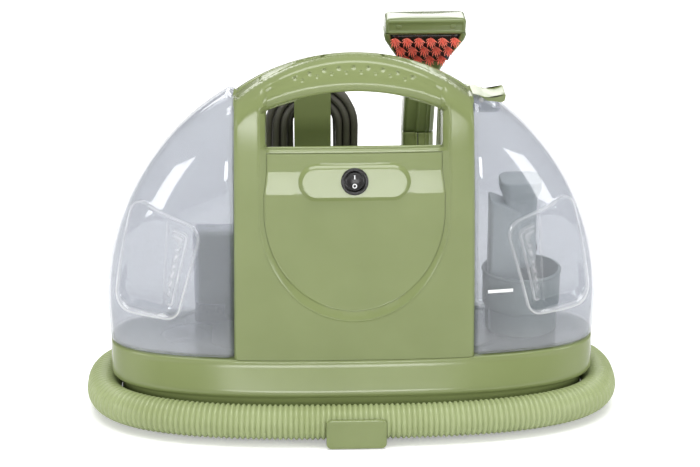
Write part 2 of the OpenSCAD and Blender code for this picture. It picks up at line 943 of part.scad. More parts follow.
module pump_plunger() {
  color(steel)
    z_rod(pump_at[0], pump_at[1], pump_z + 24, pump_z + 52, plunger_r);
}

module water_tube() {
  color(smoke)
    pipe([
      [-neck_x, 0, cap_z - 5.2], [-neck_x, 0, 26], [pump_at[0], pump_at[1], 26],
      [pump_at[0], pump_at[1], pump_z - seat_gap]
    ], tube_hole_r, tube_hole_r - 1);
}

module spray_line() {
  color(smoke)
    pipe([
      [pump_at[0], pump_at[1] + pump_r + seat_gap, pump_z + 16], [pump_at[0], line_at[1], pump_z + 16],
      [line_at[0], line_at[1], pump_z + 16],
      [line_at[0], line_at[1], 34], [2, 58, hose_z], [elbow_x - elbow_neck_r - seat_gap, 58, hose_z]
    ], 2.5, 1.5);
}

module inlet_pipe() {
  color(dark_green)
    pipe([
      [elbow_x, elbow_neck_y - 0.9, hose_z], [elbow_x, 24, hose_z + 2], [riser_x, 0, hose_z + 8], [riser_x, 0, base_h]
    ], riser_r, riser_r - 1.6);
}

module tank_seal() {
  color(charcoal)
    difference() {
      z_rod(riser_x, 0, deck_z + 0.2, base_h, riser_r + 5.6);
      z_rod(riser_x, 0, deck_z - 1, base_h + 1, riser_r + seat_gap);
    }
}

module tank_socket() {
  color(dark_green)
    difference() {
      z_rod(-neck_x, 0, cap_z - 5, base_h - 0.1, socket_r + 1.9, 64);
      z_rod(-neck_x, 0, cap_z - 2.4, base_h + 1, socket_r, 64);
      z_rod(-neck_x, 0, cap_z - 8, base_h, tube_hole_r - 1, 24);
    }
}

// ---------- tanks ----------

// Highest level of a tank's skin at distance off inside it
function tank_top(off) = widest_z
  + dome_rise * sqrt(1 - pow((band_half(260) + tank_gap + 2 * off + 5) / tank_half_l, 2));

// Section of the right tank at height z: the curved wall, then the flat wall by the band
function tank_section(z, off, steps) =
  let (
    a = half_l(z) - off,
    d = dome(z, tank_half_d, front_rise) - off,
    xi = band_half(z) + tank_gap + off,
    t = acos(pow(xi / a, outline_n / 2))
  )
    [for (i = [0 : steps]) let (p = ring_point(a, d, -t + 2 * t * i / steps)) [p[0], p[1], z]];

module tank_skin(off, z_low, steps, levels) {
  top = tank_top(off);
  skin([
    for (k = [0 : levels])
      tank_section(z_low + (top - z_low) * sin(90 * k / levels), off, steps)
  ]);
}

// Finger recess of the right tank, seen square to its floor
module grip_cut(grow) {
  d = tank_half_d * bow(grip_x, tank_half_l);
  translate([grip_x, -d, grip_z])
    rotate([0, 0, grip_turn])
      rotate([grip_lean, 0, 0])
        along_y(-60, grip_depth + grow)
          hull() {
            for (c = [[25, -31, 13], [-9, -31, 13], [13, 20, 22], [-21, 27, 17]])
              translate([c[0], c[1]])
                circle(r = c[2] + grow, $fn = 32);
          }
}

module latch_pocket(grow) {
  translate([band_half(latch_z) - 6, -latch_half - pocket_gap - grow, latch_z - 6 - grow])
    cube([pocket_x - band_half(latch_z) + 6 + grow, 2 * (latch_half + pocket_gap + grow), 60]);
}

module tower_room(grow) {
  translate([-tower_x - tower_w - grow, tower_y[0] - grow, base_h - 2])
    cube([tower_w + 20, tower_y[1] - tower_y[0] + 2 * grow, tower_h + 2 + grow]);
}

module clean_tank() {
  color(smoke)
    difference() {
      union() {
        difference() {
          mirror([1, 0, 0])
            tank_skin(0, tank_z0, 20, 13);
          difference() {
            mirror([1, 0, 0])
              tank_skin(tank_wall, tank_floor, 16, 10);
            mirror([1, 0, 0])
              grip_cut(tank_wall);
            tower_room(move_gap + tank_wall);
            z_rod(-neck_x, 0, 0, tank_floor + 1, neck_out_r);
          }
        }
        z_rod(-neck_x, 0, cap_z + 4, tank_floor + 1, neck_out_r, 64);
      }
      mirror([1, 0, 0])
        grip_cut(0);
      tower_room(move_gap);
      z_rod(-neck_x, 0, cap_z, tank_floor + 2, neck_in_r, 64);
    }
}

module tank_cap() {
  color(dark_green)
    difference() {
      union() {
        z_rod(-neck_x, 0, cap_z, base_h - 2, cap_r - 0.6, 64);
        for (i = [0 : 17])
          translate([-neck_x, 0, 0])
            rotate([0, 0, i * 20])
              translate([cap_r - 1.4, -1, cap_z + 2])
                cube([1.4, 2, base_h - cap_z - 6]);
      }
      z_rod(-neck_x, 0, cap_z + 3, base_h, neck_out_r + run_fit, 64);
      z_rod(-neck_x, 0, cap_z - 1, base_h, 4 + run_fit, 32);
    }
}

module cap_seal() {
  color(charcoal)
    difference() {
      z_rod(-neck_x, 0, cap_z + 3.1, cap_z + 3.9, neck_out_r - 0.3, 64);
      z_rod(-neck_x, 0, cap_z + 2, cap_z + 5, neck_in_r + 0.2, 64);
    }
}

module valve_poppet() {
  color(charcoal) {
    z_rod(-neck_x, 0, cap_z - 1.8, cap_z + 9, 4, 32);
    z_rod(-neck_x, 0, cap_z + 3.3, cap_z + 5.5, 8);
  }
}

module dirty_tank() {
  color(smoke)
    difference() {
      union() {
        difference() {
          tank_skin(0, tank_z0, 20, 13);
          difference() {
            tank_skin(tank_wall, tank_floor, 16, 10);
            grip_cut(tank_wall);
            latch_pocket(tank_wall);
          }
        }
        y_rod(drain_x, drain_z, drain_y - 14, drain_y, drain_r + 3);
      }
      grip_cut(0);
      latch_pocket(0);
      y_rod(latch_x, latch_z, -latch_half - 3.6, latch_half + 3.6, latch_pin_r + run_fit, 24);
      y_rod(drain_x, drain_z, drain_y - 20, drain_y + 2, drain_r + seat_gap);
      z_rod(riser_x, 0, base_h - 1, tank_floor + 1, riser_r - 1.6);
      translate([band_half(duct_z) - 2, motor_at[1], duct_z])
        rotate([0, 90, 0])
          cylinder(h = 8, r = duct_r - 2, $fn = 48);
    }
}

module separator_cup() {
  color([0.5, 0.52, 0.53])
    difference() {
      union() {
        difference() {
          union() {
            z_rod(cup_x, 0, tank_floor, tank_floor + cup_h, cup_out, 64);
            z_rod(cup_x, 0, tank_floor + cup_h - 2, tank_floor + cup_h, cup_out + 1.6, 64);
          }
          z_rod(cup_x, 0, tank_floor + 2, tank_floor + cup_h + 1, cup_out - 2, 64);
        }
        z_rod(float_x, 0, tank_floor + 1, tank_floor + cup_h - 3, guide_r, 24);
      }
      z_rod(riser_x, 0, tank_floor - 1, tank_floor + 3, riser_r + seat_gap);
    }
}

module riser_duct() {
  top = tank_floor + riser_h;
  color([0.62, 0.65, 0.68])
    difference() {
      union() {
        z_rod(riser_x, 0, tank_floor, top, riser_r);
        translate([riser_x - riser_r, -riser_r - 4, top - 3])
          cube([2 * riser_r + 18, 2 * riser_r + 8, 3]);
      }
      z_rod(riser_x, 0, tank_floor - 1, top - 4, riser_r - 1.4);
      translate([riser_x, -6, top - 20])
        cube([riser_r + 2, 12, 14]);
    }
}

module float() {
  color(coral)
    difference() {
      z_rod(float_x, 0, tank_floor + 2 + seat_gap, tank_floor + 2 + seat_gap + float_h, 9);
      z_rod(float_x, 0, tank_floor, tank_floor + 60, guide_r + run_fit, 24);
    }
}

module drain_plug() {
  color(charcoal) {
    y_rod(drain_x, drain_z, drain_y - 12, drain_y + 1, drain_r);
    y_rod(drain_x, drain_z, drain_y + seat_gap, drain_y + 3.5, drain_r + 3);
    translate([drain_x - 2, drain_y + 3, drain_z - 6])
      cube([4, 4, 12]);
  }
}

// A finger tab outside the pivot and a hook inside it, drawn across the tank's top
module tank_latch() {
  side = band_half(latch_z);
  color(green)
    difference() {
      union() {
        y_rod(latch_x, latch_z, -latch_half, latch_half, 4.2);
        along_y(-latch_half, latch_half)
          polygon([
            [side - 7.2, latch_z + 7.2], [latch_x - 3, latch_z + 7.3], [latch_x + 8, latch_z + 6.2],
            [latch_x + 20.5, latch_z + 3.2], [latch_x + 20, latch_z + 0.4], [latch_x + 8, latch_z + 2.8],
            [latch_x + 3, latch_z - 1], [latch_x - 3, latch_z - 1], [latch_x - 3.6, latch_z + 3],
            [side - 3.9, latch_z + 3.1], [side - 4.2, latch_z - 0.4], [side - 7.2, latch_z - 0.4]
          ]);
      }
      y_rod(latch_x, latch_z, -latch_half - 1, latch_half + 1, latch_pin_r + run_fit, 24);
    }
}

module latch_pin() {
  color(steel)
    y_rod(latch_x, latch_z, -latch_half - 3.4, latch_half + 3.4, latch_pin_r, 24);
}

// ---------- cord storage and power cord ----------

module hook_lip(z_mid, up) {
  along_y(lip_y, lip_y + lip_t)
    translate([post_x, z_mid])
      union() {
        circle(r = arm_r - 0.5, $fn = 48);
        translate([-arm_r + 2, up > 0 ? 0 : -lip_reach + 6])
          square([2 * arm_r - 4, lip_reach - 6]);
        translate([0, up * (lip_reach - 6)])
          soft_rect(2 * arm_r - 4, 12, 5.5);
      }
}

module cord_post() {
  color(green)
    difference() {
      union() {
        along_y(rear_y, rear_y + post_t)
          translate([post_x, (fold_low_z - 30 + fold_z + lip_reach) / 2])
            soft_rect(post_w, fold_z + lip_reach - fold_low_z + 30, 4);
        y_rod(post_x, fold_z, rear_y + 1, lip_y + 1, arm_r);
        hook_lip(fold_z, 1);
      }
      y_rod(post_x, fold_low_z, rear_y - 1, rear_y + post_t + 1, 5 + run_fit);
    }
}

module cord_hook() {
  color(green) {
    y_rod(post_x, fold_low_z, rear_y + seat_gap, rear_y + post_t + 2, 5);
    y_rod(post_x, fold_low_z, rear_y + post_t + seat_gap, lip_y + 1, arm_r);
    hook_lip(fold_low_z, -1);
  }
}

// Distance of the winding from the post's middle, and the layer, after t turns
function hank_off(t) = cord_turn_r + cord_pitch * (
  t < reverse_turns[0] ? reverse_turns[0] - t :
  t < reverse_turns[1] ? t - reverse_turns[0] :
  t < reverse_turns[2] ? reverse_turns[2] - t : t - reverse_turns[2]
);
function hank_layer(t) = hank_y + cord_pitch * (
  clamp((t - reverse_turns[0]) / run_share + 0.5)
  + clamp((t - reverse_turns[1]) / run_share + 0.5)
  + clamp((t - reverse_turns[2]) / run_share + 0.5)
);

// Each turn: up the left run, over the top fold, down the right run, round the low fold
function hank_point(t) =
  let (
    half = run_share / 2,
    fold = 0.5 - run_share,
    p = t - floor(t + half),
    r = hank_off(t),
    y = hank_layer(t)
  )
    p < half ? [post_x - r, y, fold_low_z + hank_run * (p + half) / run_share] :
    p < half + fold ? let (a = 180 - 180 * (p - half) / fold) [post_x + r * cos(a), y, fold_z + r * sin(a)] :
    p < 0.5 + half ? [post_x + r, y, fold_z - hank_run * (p - half - fold) / run_share] :
    let (a = -180 * (p - 0.5 - half) / fold) [post_x + r * cos(a), y, fold_low_z + r * sin(a)];

// 24 rings a turn: 3 on each run and 9 round each fold
hank_phases = concat(
  [for (i = [0 : 2]) -run_share / 2 + run_share * i / 3],
  [for (i = [0 : 8]) run_share / 2 + (0.5 - run_share) * i / 9],
  [for (i = [0 : 2]) 0.5 - run_share / 2 + run_share * i / 3],
  [for (i = [0 : 8]) 0.5 + run_share / 2 + (0.5 - run_share) * i / 9]
);
hank_turns = concat(
  [for (n = [0 : 11], p = hank_phases) if (n + p >= hank_start - 0.001 && n + p < hank_end - 0.001) n + p],
  [hank_end]
);
hank_path = [for (t = hank_turns) hank_point(t + 0.00001)];
hank_length = lengths(hank_path)[len(hank_path) - 1];
lead_low = [hank_path[0][0], hank_y, base_h + relief_h];
lead_path = [for (i = [0 : 5]) [lead_low[0], hank_y, lead_low[2] + (fold_low_z - lead_low[2]) * i / 5]];
tail_top = hank_path[len(hank_path) - 1];
tail_path = [for (i = [0 : 3]) tail_top + [0, tail_lean * i / 3, -tail_l * i / 3]];

// Round tube along a path that lies in planes of constant Y
module cord_tube(path, sides) {
  n = len(path);
  tangents = [
    for (i = [0 : n - 1])
      i == 0 || i == n - 1
        ? [0, 0, sign(path[min(i + 1, n - 1)][2] - path[max(i - 1, 0)][2])]
        : unit(path[i + 1] - path[i - 1])
  ];
  skin([
    for (i = [0 : n - 1])
      let (side = unit([0, 1, 0] - tangents[i] * tangents[i][1]), other = cross(tangents[i], side))
        [for (k = [0 : sides - 1]) path[i] + cord_d / 2 * (cos(360 * k / sides) * side + sin(360 * k / sides) * other)]
  ]);
}

module strain_relief() {
  color(charcoal)
    translate([lead_low[0], hank_y, base_h]) {
      cylinder(h = 2.5, r = cord_d / 2 + 3.4, $fn = 48);
      rotate_extrude($fn = 48)
        polygon([[0, 1], [cord_d / 2 + 2.4, 1], [cord_d / 2 + 0.7, relief_h], [0, relief_h]]);
    }
}

module cord_lead() {
  color(charcoal)
    cord_tube(lead_path, 8);
}

module cord_hank() {
  color(charcoal)
    cord_tube(hank_path, 6);
}

module cord_tail() {
  color(charcoal)
    cord_tube(tail_path, 8);
}

plug_top = tail_top + [0, tail_lean, -tail_l];
module plug_body() {
  w = plug_size[0];
  d = plug_size[1];
  h = plug_size[2];
  color(charcoal)
    skin([
      for (s = [[0, 1, 1], [0.35, 1, 1], [0.55, 0.82, 0.92], [0.8, 0.5, 0.66], [1, 0.42, 0.62]])
        [for (p = soft_ring(w * s[1], d * s[2], 4.2 * s[2])) [plug_top[0] + p[0], plug_top[1] + p[1], plug_top[2] - h + h * s[0]]]
    ]);
}

module plug_blades() {
  color(steel)
    for (x = [-1, 1])
      translate([plug_top[0] + x * 6.35 - 0.75, plug_top[1] - 3.15, plug_top[2] - plug_size[2] - blade_l])
        cube([1.5, 6.3, blade_l]);
}

// ---------- hose ----------

module hose_elbow() {
  wall_y = cove_d + 0.4;
  color(dark_green)
    difference() {
      union() {
        y_rod(elbow_x, hose_z, elbow_neck_y, wall_y + 1, elbow_neck_r);
        run([[elbow_x, wall_y, hose_z], [elbow_x, ring_d, hose_z], [mouth_x, ring_d, hose_z]], elbow_r);
      }
      run([[elbow_x, 50, hose_z], [elbow_x, ring_d, hose_z], [mouth_x - 1, ring_d, hose_z]], elbow_bore);
    }
}

// Once round the base from the elbow's mouth, then a bend up to the wand's cuff
hose_from = acos(pow(mouth_x / ring_l, outline_n / 2));
rise_x = 140;
hose_to = 360 + acos(pow(rise_x / ring_l, outline_n / 2));
ring_track = [
  for (i = [0 : 300])
    let (p = ring_point(ring_l, ring_d, hose_from + (hose_to - hose_from) * i / 300))
      [p[0], p[1], hose_z]
];
rise_from = ring_track[300];
rise_along = unit(ring_track[300] - ring_track[299]);
rise_top = [wand_x, wand_y, wand_z - hose_d - seat_gap];
rise_grip = rise_from + 45 * rise_along;
rise_under = [wand_x, wand_y + 5.5, rise_top[2] - 40];
rise_track = [
  for (i = [1 : 24])
    let (u = i / 24, v = 1 - u)
      v * v * v * rise_from + 3 * v * v * u * rise_grip + 3 * v * u * u * rise_under + u * u * u * rise_top
];
hose_track = concat(ring_track, rise_track, [rise_top + [0, 0, hose_d]]);
hose_s = lengths(hose_track);
hose_length = hose_s[len(hose_s) - 1];
hose_table = [for (k = [0 : 2]) [for (i = [0 : len(hose_s) - 1]) [hose_s[i], hose_track[i][k]]]];
function hose_at(s) = [for (k = [0 : 2]) lookup(s, hose_table[k])];
function hose_dir(s) = s < 12 ? [-1, 0, 0] : s > hose_length - hose_d * 0.8 ? [0, 0, 1]
  : unit(hose_at(min(s + 3, hose_length)) - hose_at(s - 3));

// Points round the hose; the first lies on its outer side, away from the machine
function hose_ring(s, r, sides) =
  let (
    p = hose_at(s),
    t = hose_dir(s),
    out = s < ring_part ? [t[1], -t[0], 0] : [0, 1, 0],
    a = unit(out - t * (out * t)),
    b = cross(t, a)
  )
    [for (k = [0 : sides - 1]) p + r * (cos(360 * (k + 0.5) / sides) * a + sin(360 * (k + 0.5) / sides) * b)];
ring_part = hose_s[300];

module hose() {
  sides = 8;
  outer = 2 * hose_ribs;
  rings = concat(
    [for (i = [0 : outer - 1]) hose_ring(hose_length * i / (outer - 1), hose_r - (i % 2 == 0 ? 0 : 1.7), sides)],
    [for (i = [0 : 60]) hose_ring(hose_length * (1 - i / 60), hose_bore / 2, sides)]
  );
  color(green)
    bored(rings);
}

// ---------- wand and tool ----------

module wand_section() {
  soft_rect(wand_w, wand_d, 9);
}

module wand_shell(side) {
  z0 = wand_z + collar_h;
  color(green)
    difference() {
      translate([wand_x, wand_y, z0])
        linear_extrude(joint_z - z0)
          wand_section();
      translate([wand_x, wand_y, z0 - 1])
        linear_extrude(joint_z - z0 + 2)
          soft_rect(wand_w - 2 * wand_wall, wand_d - 2 * wand_wall, 7);
      translate([side > 0 ? wand_x - 60 : wand_x, wand_y - 50, 0])
        cube([60, 100, 400]);
      translate([wand_x - trigger_half - move_gap, wand_y - wand_d, pivot_z - 44])
        cube([2 * (trigger_half + move_gap), wand_d, 50]);
      translate([wand_x - wand_w / 2 + 1, pivot_y, pivot_z])
        rotate([0, 90, 0])
          cylinder(h = wand_w - 2, r = pivot_r + run_fit, $fn = 24);
    }
}

module wand_cuff() {
  color(dark_green)
    difference() {
      union() {
        z_rod(wand_x, wand_y, wand_z, wand_z + collar_h, collar_r, 64);
        z_rod(wand_x, wand_y, wand_z, wand_z + collar_h + 6, wand_w / 2 - wand_wall - 0.3);
      }
      z_rod(wand_x, wand_y, wand_z - 1, wand_z + collar_h + 7, 8);
    }
}

module wand_cradle() {
  z0 = wand_z - 12;
  z1 = wand_z - seat_gap;
  inner = hose_r + hose_gap;
  color(green)
    difference() {
      union() {
        along_y(rear_y, rear_y + 4)
          translate([wand_x, z0 + 14])
            soft_rect(2 * collar_r + 8, 40, 5);
        z_rod(wand_x, wand_y, z0, z1, collar_r + 3, 64);
        translate([wand_x - collar_r - 3, rear_y + 1, z0])
          cube([2 * collar_r + 6, wand_y - rear_y - 1, z1 - z0]);
      }
      z_rod(wand_x, wand_y, z0 - 1, z1 + 1, inner, 64);
      translate([wand_x - inner, wand_y, z0 - 1])
        cube([2 * inner, 60, z1 - z0 + 2]);
      translate([wand_x - inner, rear_y + 8, z0 - 1])
        cube([2 * inner, wand_y - rear_y - 8, z1 - z0 + 2]);
    }
}

module suction_tube() {
  color(smoke)
    difference() {
      z_rod(wand_x, tube_y, wand_z + collar_h + 6 + seat_gap, joint_z + 18, tube_r);
      z_rod(wand_x, tube_y, wand_z, joint_z + 20, tube_r - 1.5);
    }
}

module spray_valve() {
  color(charcoal)
    z_rod(wand_x, wand_y - wand_d / 2 + wand_wall + 4 + seat_gap, wand_z + collar_h + 8, pivot_z - 46, 4, 32);
}

module trigger() {
  y = pivot_y;
  z = pivot_z;
  color(dark_green)
    difference() {
      along_x(wand_x - trigger_half, wand_x + trigger_half) {
        translate([y, z])
          circle(r = 4, $fn = 48);
        polygon([
          [y, z + 4], [y - 7, z + 4], [y - 9.5, z - 4], [y - 12, z - 16], [y - 13, z - 34],
          [y - 11.5, z - 42], [y - 8, z - 42], [y - 7, z - 34], [y - 5.5, z - 14], [y - 2, z - 3.4]
        ]);
      }
      translate([wand_x - 20, y, z])
        rotate([0, 90, 0])
          cylinder(h = 40, r = pivot_r + run_fit, $fn = 24);
    }
}

module trigger_pin() {
  color(steel)
    translate([wand_x - wand_w / 2 + 1.3, pivot_y, pivot_z])
      rotate([0, 90, 0])
        cylinder(h = wand_w - 2.6, r = pivot_r, $fn = 24);
}

// Height above the joint, half width, front and rear of the tool
tool_rise = head_z - joint_z;
tool_levels = [
  [seat_gap, 0, -15, 15], [tool_rise * 0.48, 0, -15, 15], [tool_rise * 0.6, 0.09, -16.5, 12.5],
  [tool_rise * 0.7, 0.28, -18.5, 9.5], [tool_rise * 0.82, 0.66, -21, 6.5],
  [tool_rise * 0.92, 0.94, -23.5, 4], [tool_rise * 0.97, 1, -24.6, 3], [tool_rise, 1, -25.2, 2.4]
];

function tool_ring(s) =
  let (
    w = wand_w + (tool_w - wand_w) * s[1],
    f = s[2] * wand_d / 30,
    b = s[3] * wand_d / 30,
    r = 9 - 5 * s[1]
  )
    [for (p = soft_ring(w, b - f, r, 5)) [wand_x + p[0], wand_y + (f + b) / 2 + p[1], joint_z + s[0]]];

module mouth_slot(z0, z1) {
  y = wand_y - 11.5 * wand_d / 30;
  translate([wand_x - tool_w / 2 + 5, y - 3.5, z0])
    cube([tool_w - 10, 7, z1 - z0]);
}

// Places children on the bristle face, -Y out of it, at its top edge
module at_field() {
  translate([wand_x, wand_y - 25 * wand_d / 30, field_top])
    rotate([field_lean, 0, 0])
      children();
}

module field_outline(grow) {
  h = field_top - field_low;
  polygon([[-30 - grow, grow], [-22 - grow, -h - grow], [22 + grow, -h - grow], [30 + grow, grow]]);
}

module tool_body() {
  color(dark_green)
    difference() {
      skin([for (s = tool_levels) tool_ring(s)]);
      z_rod(wand_x, tube_y, joint_z - 1, joint_z + 19, tube_r + run_fit);
      z_rod(wand_x, tube_y - 1, joint_z + 18, joint_z + tool_rise * 0.55, tube_r - 2.5);
      mouth_slot(head_z - 14, head_z + 1);
      at_field()
        along_y(-10, 2)
          field_outline(0);
    }
}

module suction_lip() {
  f = -25.2 * wand_d / 30;
  b = 2.4 * wand_d / 30;
  color(dark_green)
    difference() {
      skin([
        for (s = [[seat_gap, 0, 0], [8, 0, 0], [12, -1.6, -3]])
          [for (p = soft_ring(tool_w + s[1], b - f + s[2], 4, 5)) [wand_x + p[0], wand_y + (f + b) / 2 + p[1], head_z + s[0]]]
      ]);
      mouth_slot(head_z, tool_top + 1);
    }
}

module brush_plate() {
  color([0.09, 0.09, 0.09])
    at_field()
      along_y(0.2, 1.9)
        field_outline(-0.3);
}

module bristle_tufts() {
  color(coral)
    at_field()
      for (row = [0 : 2], i = [0 : 5 - row])
        y_rod((i - (5 - row) / 2) * tuft_pitch * (1 - 0.04 * row), -4.2 - row * 8.6, -tuft_l, 0.2, tuft_r, 16);
}

// Least gap of the winding to itself, measured between points at least half a turn apart
hank_gap = min([
  for (i = [0 : len(hank_path) - 1], j = [i + 12 : 1 : len(hank_path) - 1])
    norm(hank_path[i] - hank_path[j])
]) - cord_d;
echo(
    cord_gap = hank_gap,
    cord_length = hank_length + fold_low_z - base_h - 1 + norm([tail_l, tail_lean]),
    hose_length = hose_length
  );

base_tray();
base_plate();
rubber_feet();
base_screws();
hose_clips();
front_housing();
front_panel();
rear_housing();
housing_screws();
switch_bezel();
switch_body();
switch_rocker();
motor_housing();
motor_mount();
motor_shaft();
fan_impeller();
fan_shroud();
suction_duct();
pump_body();
pump_plunger();
water_tube();
spray_line();
inlet_pipe();
tank_seal();
tank_socket();
clean_tank();
tank_cap();
cap_seal();
valve_poppet();
dirty_tank();
separator_cup();
riser_duct();
float();
drain_plug();
tank_latch();
latch_pin();
cord_post();
cord_hook();
wand_cradle();
hose_elbow();
hose();
strain_relief();
cord_lead();
cord_hank();
cord_tail();
plug_body();
plug_blades();
wand_shell(-1);  // wand_shell_left
wand_shell(1);  // wand_shell_right
wand_cuff();
suction_tube();
spray_valve();
trigger();
trigger_pin();
tool_body();
suction_lip();
brush_plate();
bristle_tufts();
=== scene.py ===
import math

import bmesh
import bpy
import numpy as np
from mathutils import Matrix, Vector, kdtree
from mathutils.geometry import delaunay_2d_cdt


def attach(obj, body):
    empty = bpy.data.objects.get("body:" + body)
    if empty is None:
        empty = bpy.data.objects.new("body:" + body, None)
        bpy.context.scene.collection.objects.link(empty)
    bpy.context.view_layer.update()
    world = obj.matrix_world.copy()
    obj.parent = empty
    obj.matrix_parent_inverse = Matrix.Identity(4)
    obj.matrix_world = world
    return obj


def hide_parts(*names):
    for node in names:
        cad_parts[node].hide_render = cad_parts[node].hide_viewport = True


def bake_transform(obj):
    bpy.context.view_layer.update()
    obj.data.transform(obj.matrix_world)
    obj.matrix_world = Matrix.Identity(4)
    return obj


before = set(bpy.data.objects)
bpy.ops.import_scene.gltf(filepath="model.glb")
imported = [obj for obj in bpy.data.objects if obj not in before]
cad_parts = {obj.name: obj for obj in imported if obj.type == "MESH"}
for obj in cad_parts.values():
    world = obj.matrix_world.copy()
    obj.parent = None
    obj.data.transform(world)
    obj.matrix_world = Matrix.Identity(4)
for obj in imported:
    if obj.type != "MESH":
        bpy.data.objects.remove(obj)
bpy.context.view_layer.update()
mm = 0.001
print("frame loaded with", len(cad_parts), "nodes")


# small tools
def hexColour(text, alpha=1.0):
    values = [int(text[i : i + 2], 16) / 255 for i in (1, 3, 5)]
    linear = [v / 12.92 if v <= 0.04045 else ((v + 0.055) / 1.055) ** 2.4 for v in values]
    return (*linear, alpha)


def addNode(tree, kind, sockets=None, **settings):
    node = tree.nodes.new(kind)
    for key, value in settings.items():
        setattr(node, key, value)
    for key, value in (sockets or {}).items():
        if isinstance(value, bpy.types.NodeSocket):
            tree.links.new(value, node.inputs[key])
        else:
            node.inputs[key].default_value = value
    return node


def addMath(tree, operation, *values, **settings):
    return addNode(tree, "ShaderNodeMath", dict(enumerate(values)), operation=operation, **settings).outputs[0]


def addObject(name, data):
    obj = bpy.data.objects.new(name, data)
    bpy.context.scene.collection.objects.link(obj)
    return obj


def addCurve(objectName, curveName, line):
    curve = bpy.data.curves.new(curveName, "CURVE")
    curve.dimensions = "3D"
    spline = curve.splines.new("POLY")
    spline.points.add(len(line) - 1)
    for point, place in zip(spline.points, line):
        point.co = (*[v * mm for v in place], 1)
    return addObject(objectName, curve)


def makeObject(name, points, faces, smoothAngle=32, weld=0.002):
    # points in millimetres; the object stays at the origin
    places = [tuple(p) for p in np.asarray(points, float) * mm]
    mesh = bpy.data.meshes.new(name)
    mesh.from_pydata(places, [], [tuple(int(i) for i in f) for f in faces])
    work = bmesh.new()
    work.from_mesh(mesh)
    if weld:
        bmesh.ops.remove_doubles(work, verts=work.verts, dist=weld * mm)
    work.to_mesh(mesh)
    work.free()
    mesh.validate()
    mesh.shade_smooth()
    mesh.set_sharp_from_angle(angle=math.radians(smoothAngle))
    return addObject(name, mesh)


def lathe(name, profile, origin, axis=(0, 0, 1), steps=64, smoothAngle=35):
    # profile runs (radius, height) from the low end, outside first
    turn = Vector((0, 0, 1)).rotation_difference(Vector(axis).normalized()).to_matrix()
    points, faces = [], []
    angles = [2 * math.pi * j / steps for j in range(steps)]
    rings = []
    for r, h in profile:
        if r < 1e-6:
            rings.append([len(points)])
            points.append(Vector((0, 0, h)))
        else:
            rings.append(list(range(len(points), len(points) + steps)))
            points += [Vector((r * math.cos(a), r * math.sin(a), h)) for a in angles]
    for low, high in zip(rings, rings[1:]):
        for j in range(steps):
            k = (j + 1) % steps
            if len(low) == 1:
                faces.append((low[0], high[k], high[j])[::-1])
            elif len(high) == 1:
                faces.append((low[j], low[k], high[0]))
            else:
                faces.append((low[j], low[k], high[k], high[j]))
    placed = [tuple(turn @ p + Vector(origin)) for p in points]
    return facesOutward(makeObject(name, placed, faces, smoothAngle))


def evaluated(obj):
    # the mesh that the modifiers give
    bpy.context.view_layer.update()
    graph = bpy.context.evaluated_depsgraph_get()
    return bpy.data.meshes.new_from_object(obj.evaluated_get(graph), depsgraph=graph)


def applyModifiers(obj):
    mesh = evaluated(obj)
    obj.modifiers.clear()
    old = obj.data
    obj.data = mesh
    if old.users == 0:
        bpy.data.meshes.remove(old)
    mesh.name = obj.name
    return obj


def thicken(obj, wall):
    # gives an open skin a wall behind its faces
    solid = obj.modifiers.new("wall", "SOLIDIFY")
    solid.thickness, solid.offset = wall * mm, -1
    return applyModifiers(obj)


def facesOutward(obj):
    # closed shells only
    work = bmesh.new()
    work.from_mesh(obj.data)
    bmesh.ops.recalc_face_normals(work, faces=work.faces)
    work.to_mesh(obj.data)
    work.free()
    return obj


def dress(obj, material, body, nodes=()):
    obj.data.materials.clear()
    obj.data.materials.append(material)
    if body:
        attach(obj, body)
    if nodes:
        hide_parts(*nodes)
    return obj


def strip(rings, closed=True, flip=False):
    # quads between rings of the same count
    count, faces = len(rings[0]), []
    for k in range(len(rings) - 1):
        for j in range(count if closed else count - 1):
            a, b = k * count + j, k * count + (j + 1) % count
            quad = (a, b, b + count, a + count)
            faces.append(quad[::-1] if flip else quad)
    return np.vstack(rings), faces


def loft(name, rings, smoothAngle=32):
    # closed at both ends; rings run anticlockwise seen from the last one
    count = len(rings[0])
    points, faces = strip(rings)
    points = [tuple(p) for p in points]
    for ring, order in ((0, -1), (len(rings) - 1, 1)):
        base = ring * count
        points.append(tuple(np.mean(rings[ring], axis=0)))
        hub = len(points) - 1
        faces += [(base + j, base + (j + 1) % count, hub)[::order] for j in range(count)]
    return makeObject(name, points, faces, smoothAngle)


def distanceTo(points):
    # how far a flat point is from the nearest of these
    tree = kdtree.KDTree(len(points))
    for i, p in enumerate(points):
        tree.insert((p[0], p[1], 0), i)
    tree.balance()
    return lambda p: tree.find((p[0], p[1], 0))[2]


def triangulate(loops, lines, fill, inside, extra=()):
    # constrained Delaunay of closed loops and open lines, with a grid kept clear of them
    points, edges = [], []
    for line, closed in [(l, True) for l in loops] + [(l, False) for l in lines]:
        start = len(points)
        points += [tuple(p) for p in line]
        edges += [(start + i, start + i + 1) for i in range(len(line) - 1)]
        if closed:
            edges.append((start + len(line) - 1, start))
    for group in extra:
        points += [tuple(p) for p in group]
    away = distanceTo(points)
    low, high = np.min(points, axis=0), np.max(points, axis=0)
    rowStep, clearance = 0.866, 0.72
    rows = int((high[1] - low[1]) / (fill * rowStep)) + 1
    columns = int((high[0] - low[0]) / fill) + 1
    spots = [(i, j) for j in range(rows) for i in range(columns)]
    grid = np.array([(low[0] + (i + 0.5 * (j % 2)) * fill, low[1] + j * fill * rowStep) for i, j in spots])
    grid = grid[inside(grid)]
    points += [tuple(p) for p in grid if away(p) > clearance * fill]
    out = delaunay_2d_cdt([Vector(p) for p in points], edges, [], 0, 1e-4, False)
    verts = np.array([tuple(v) for v in out[0]])
    faces = np.array([f for f in out[2] if len(f) == 3])
    return verts, faces[inside(verts[faces].mean(axis=1))]


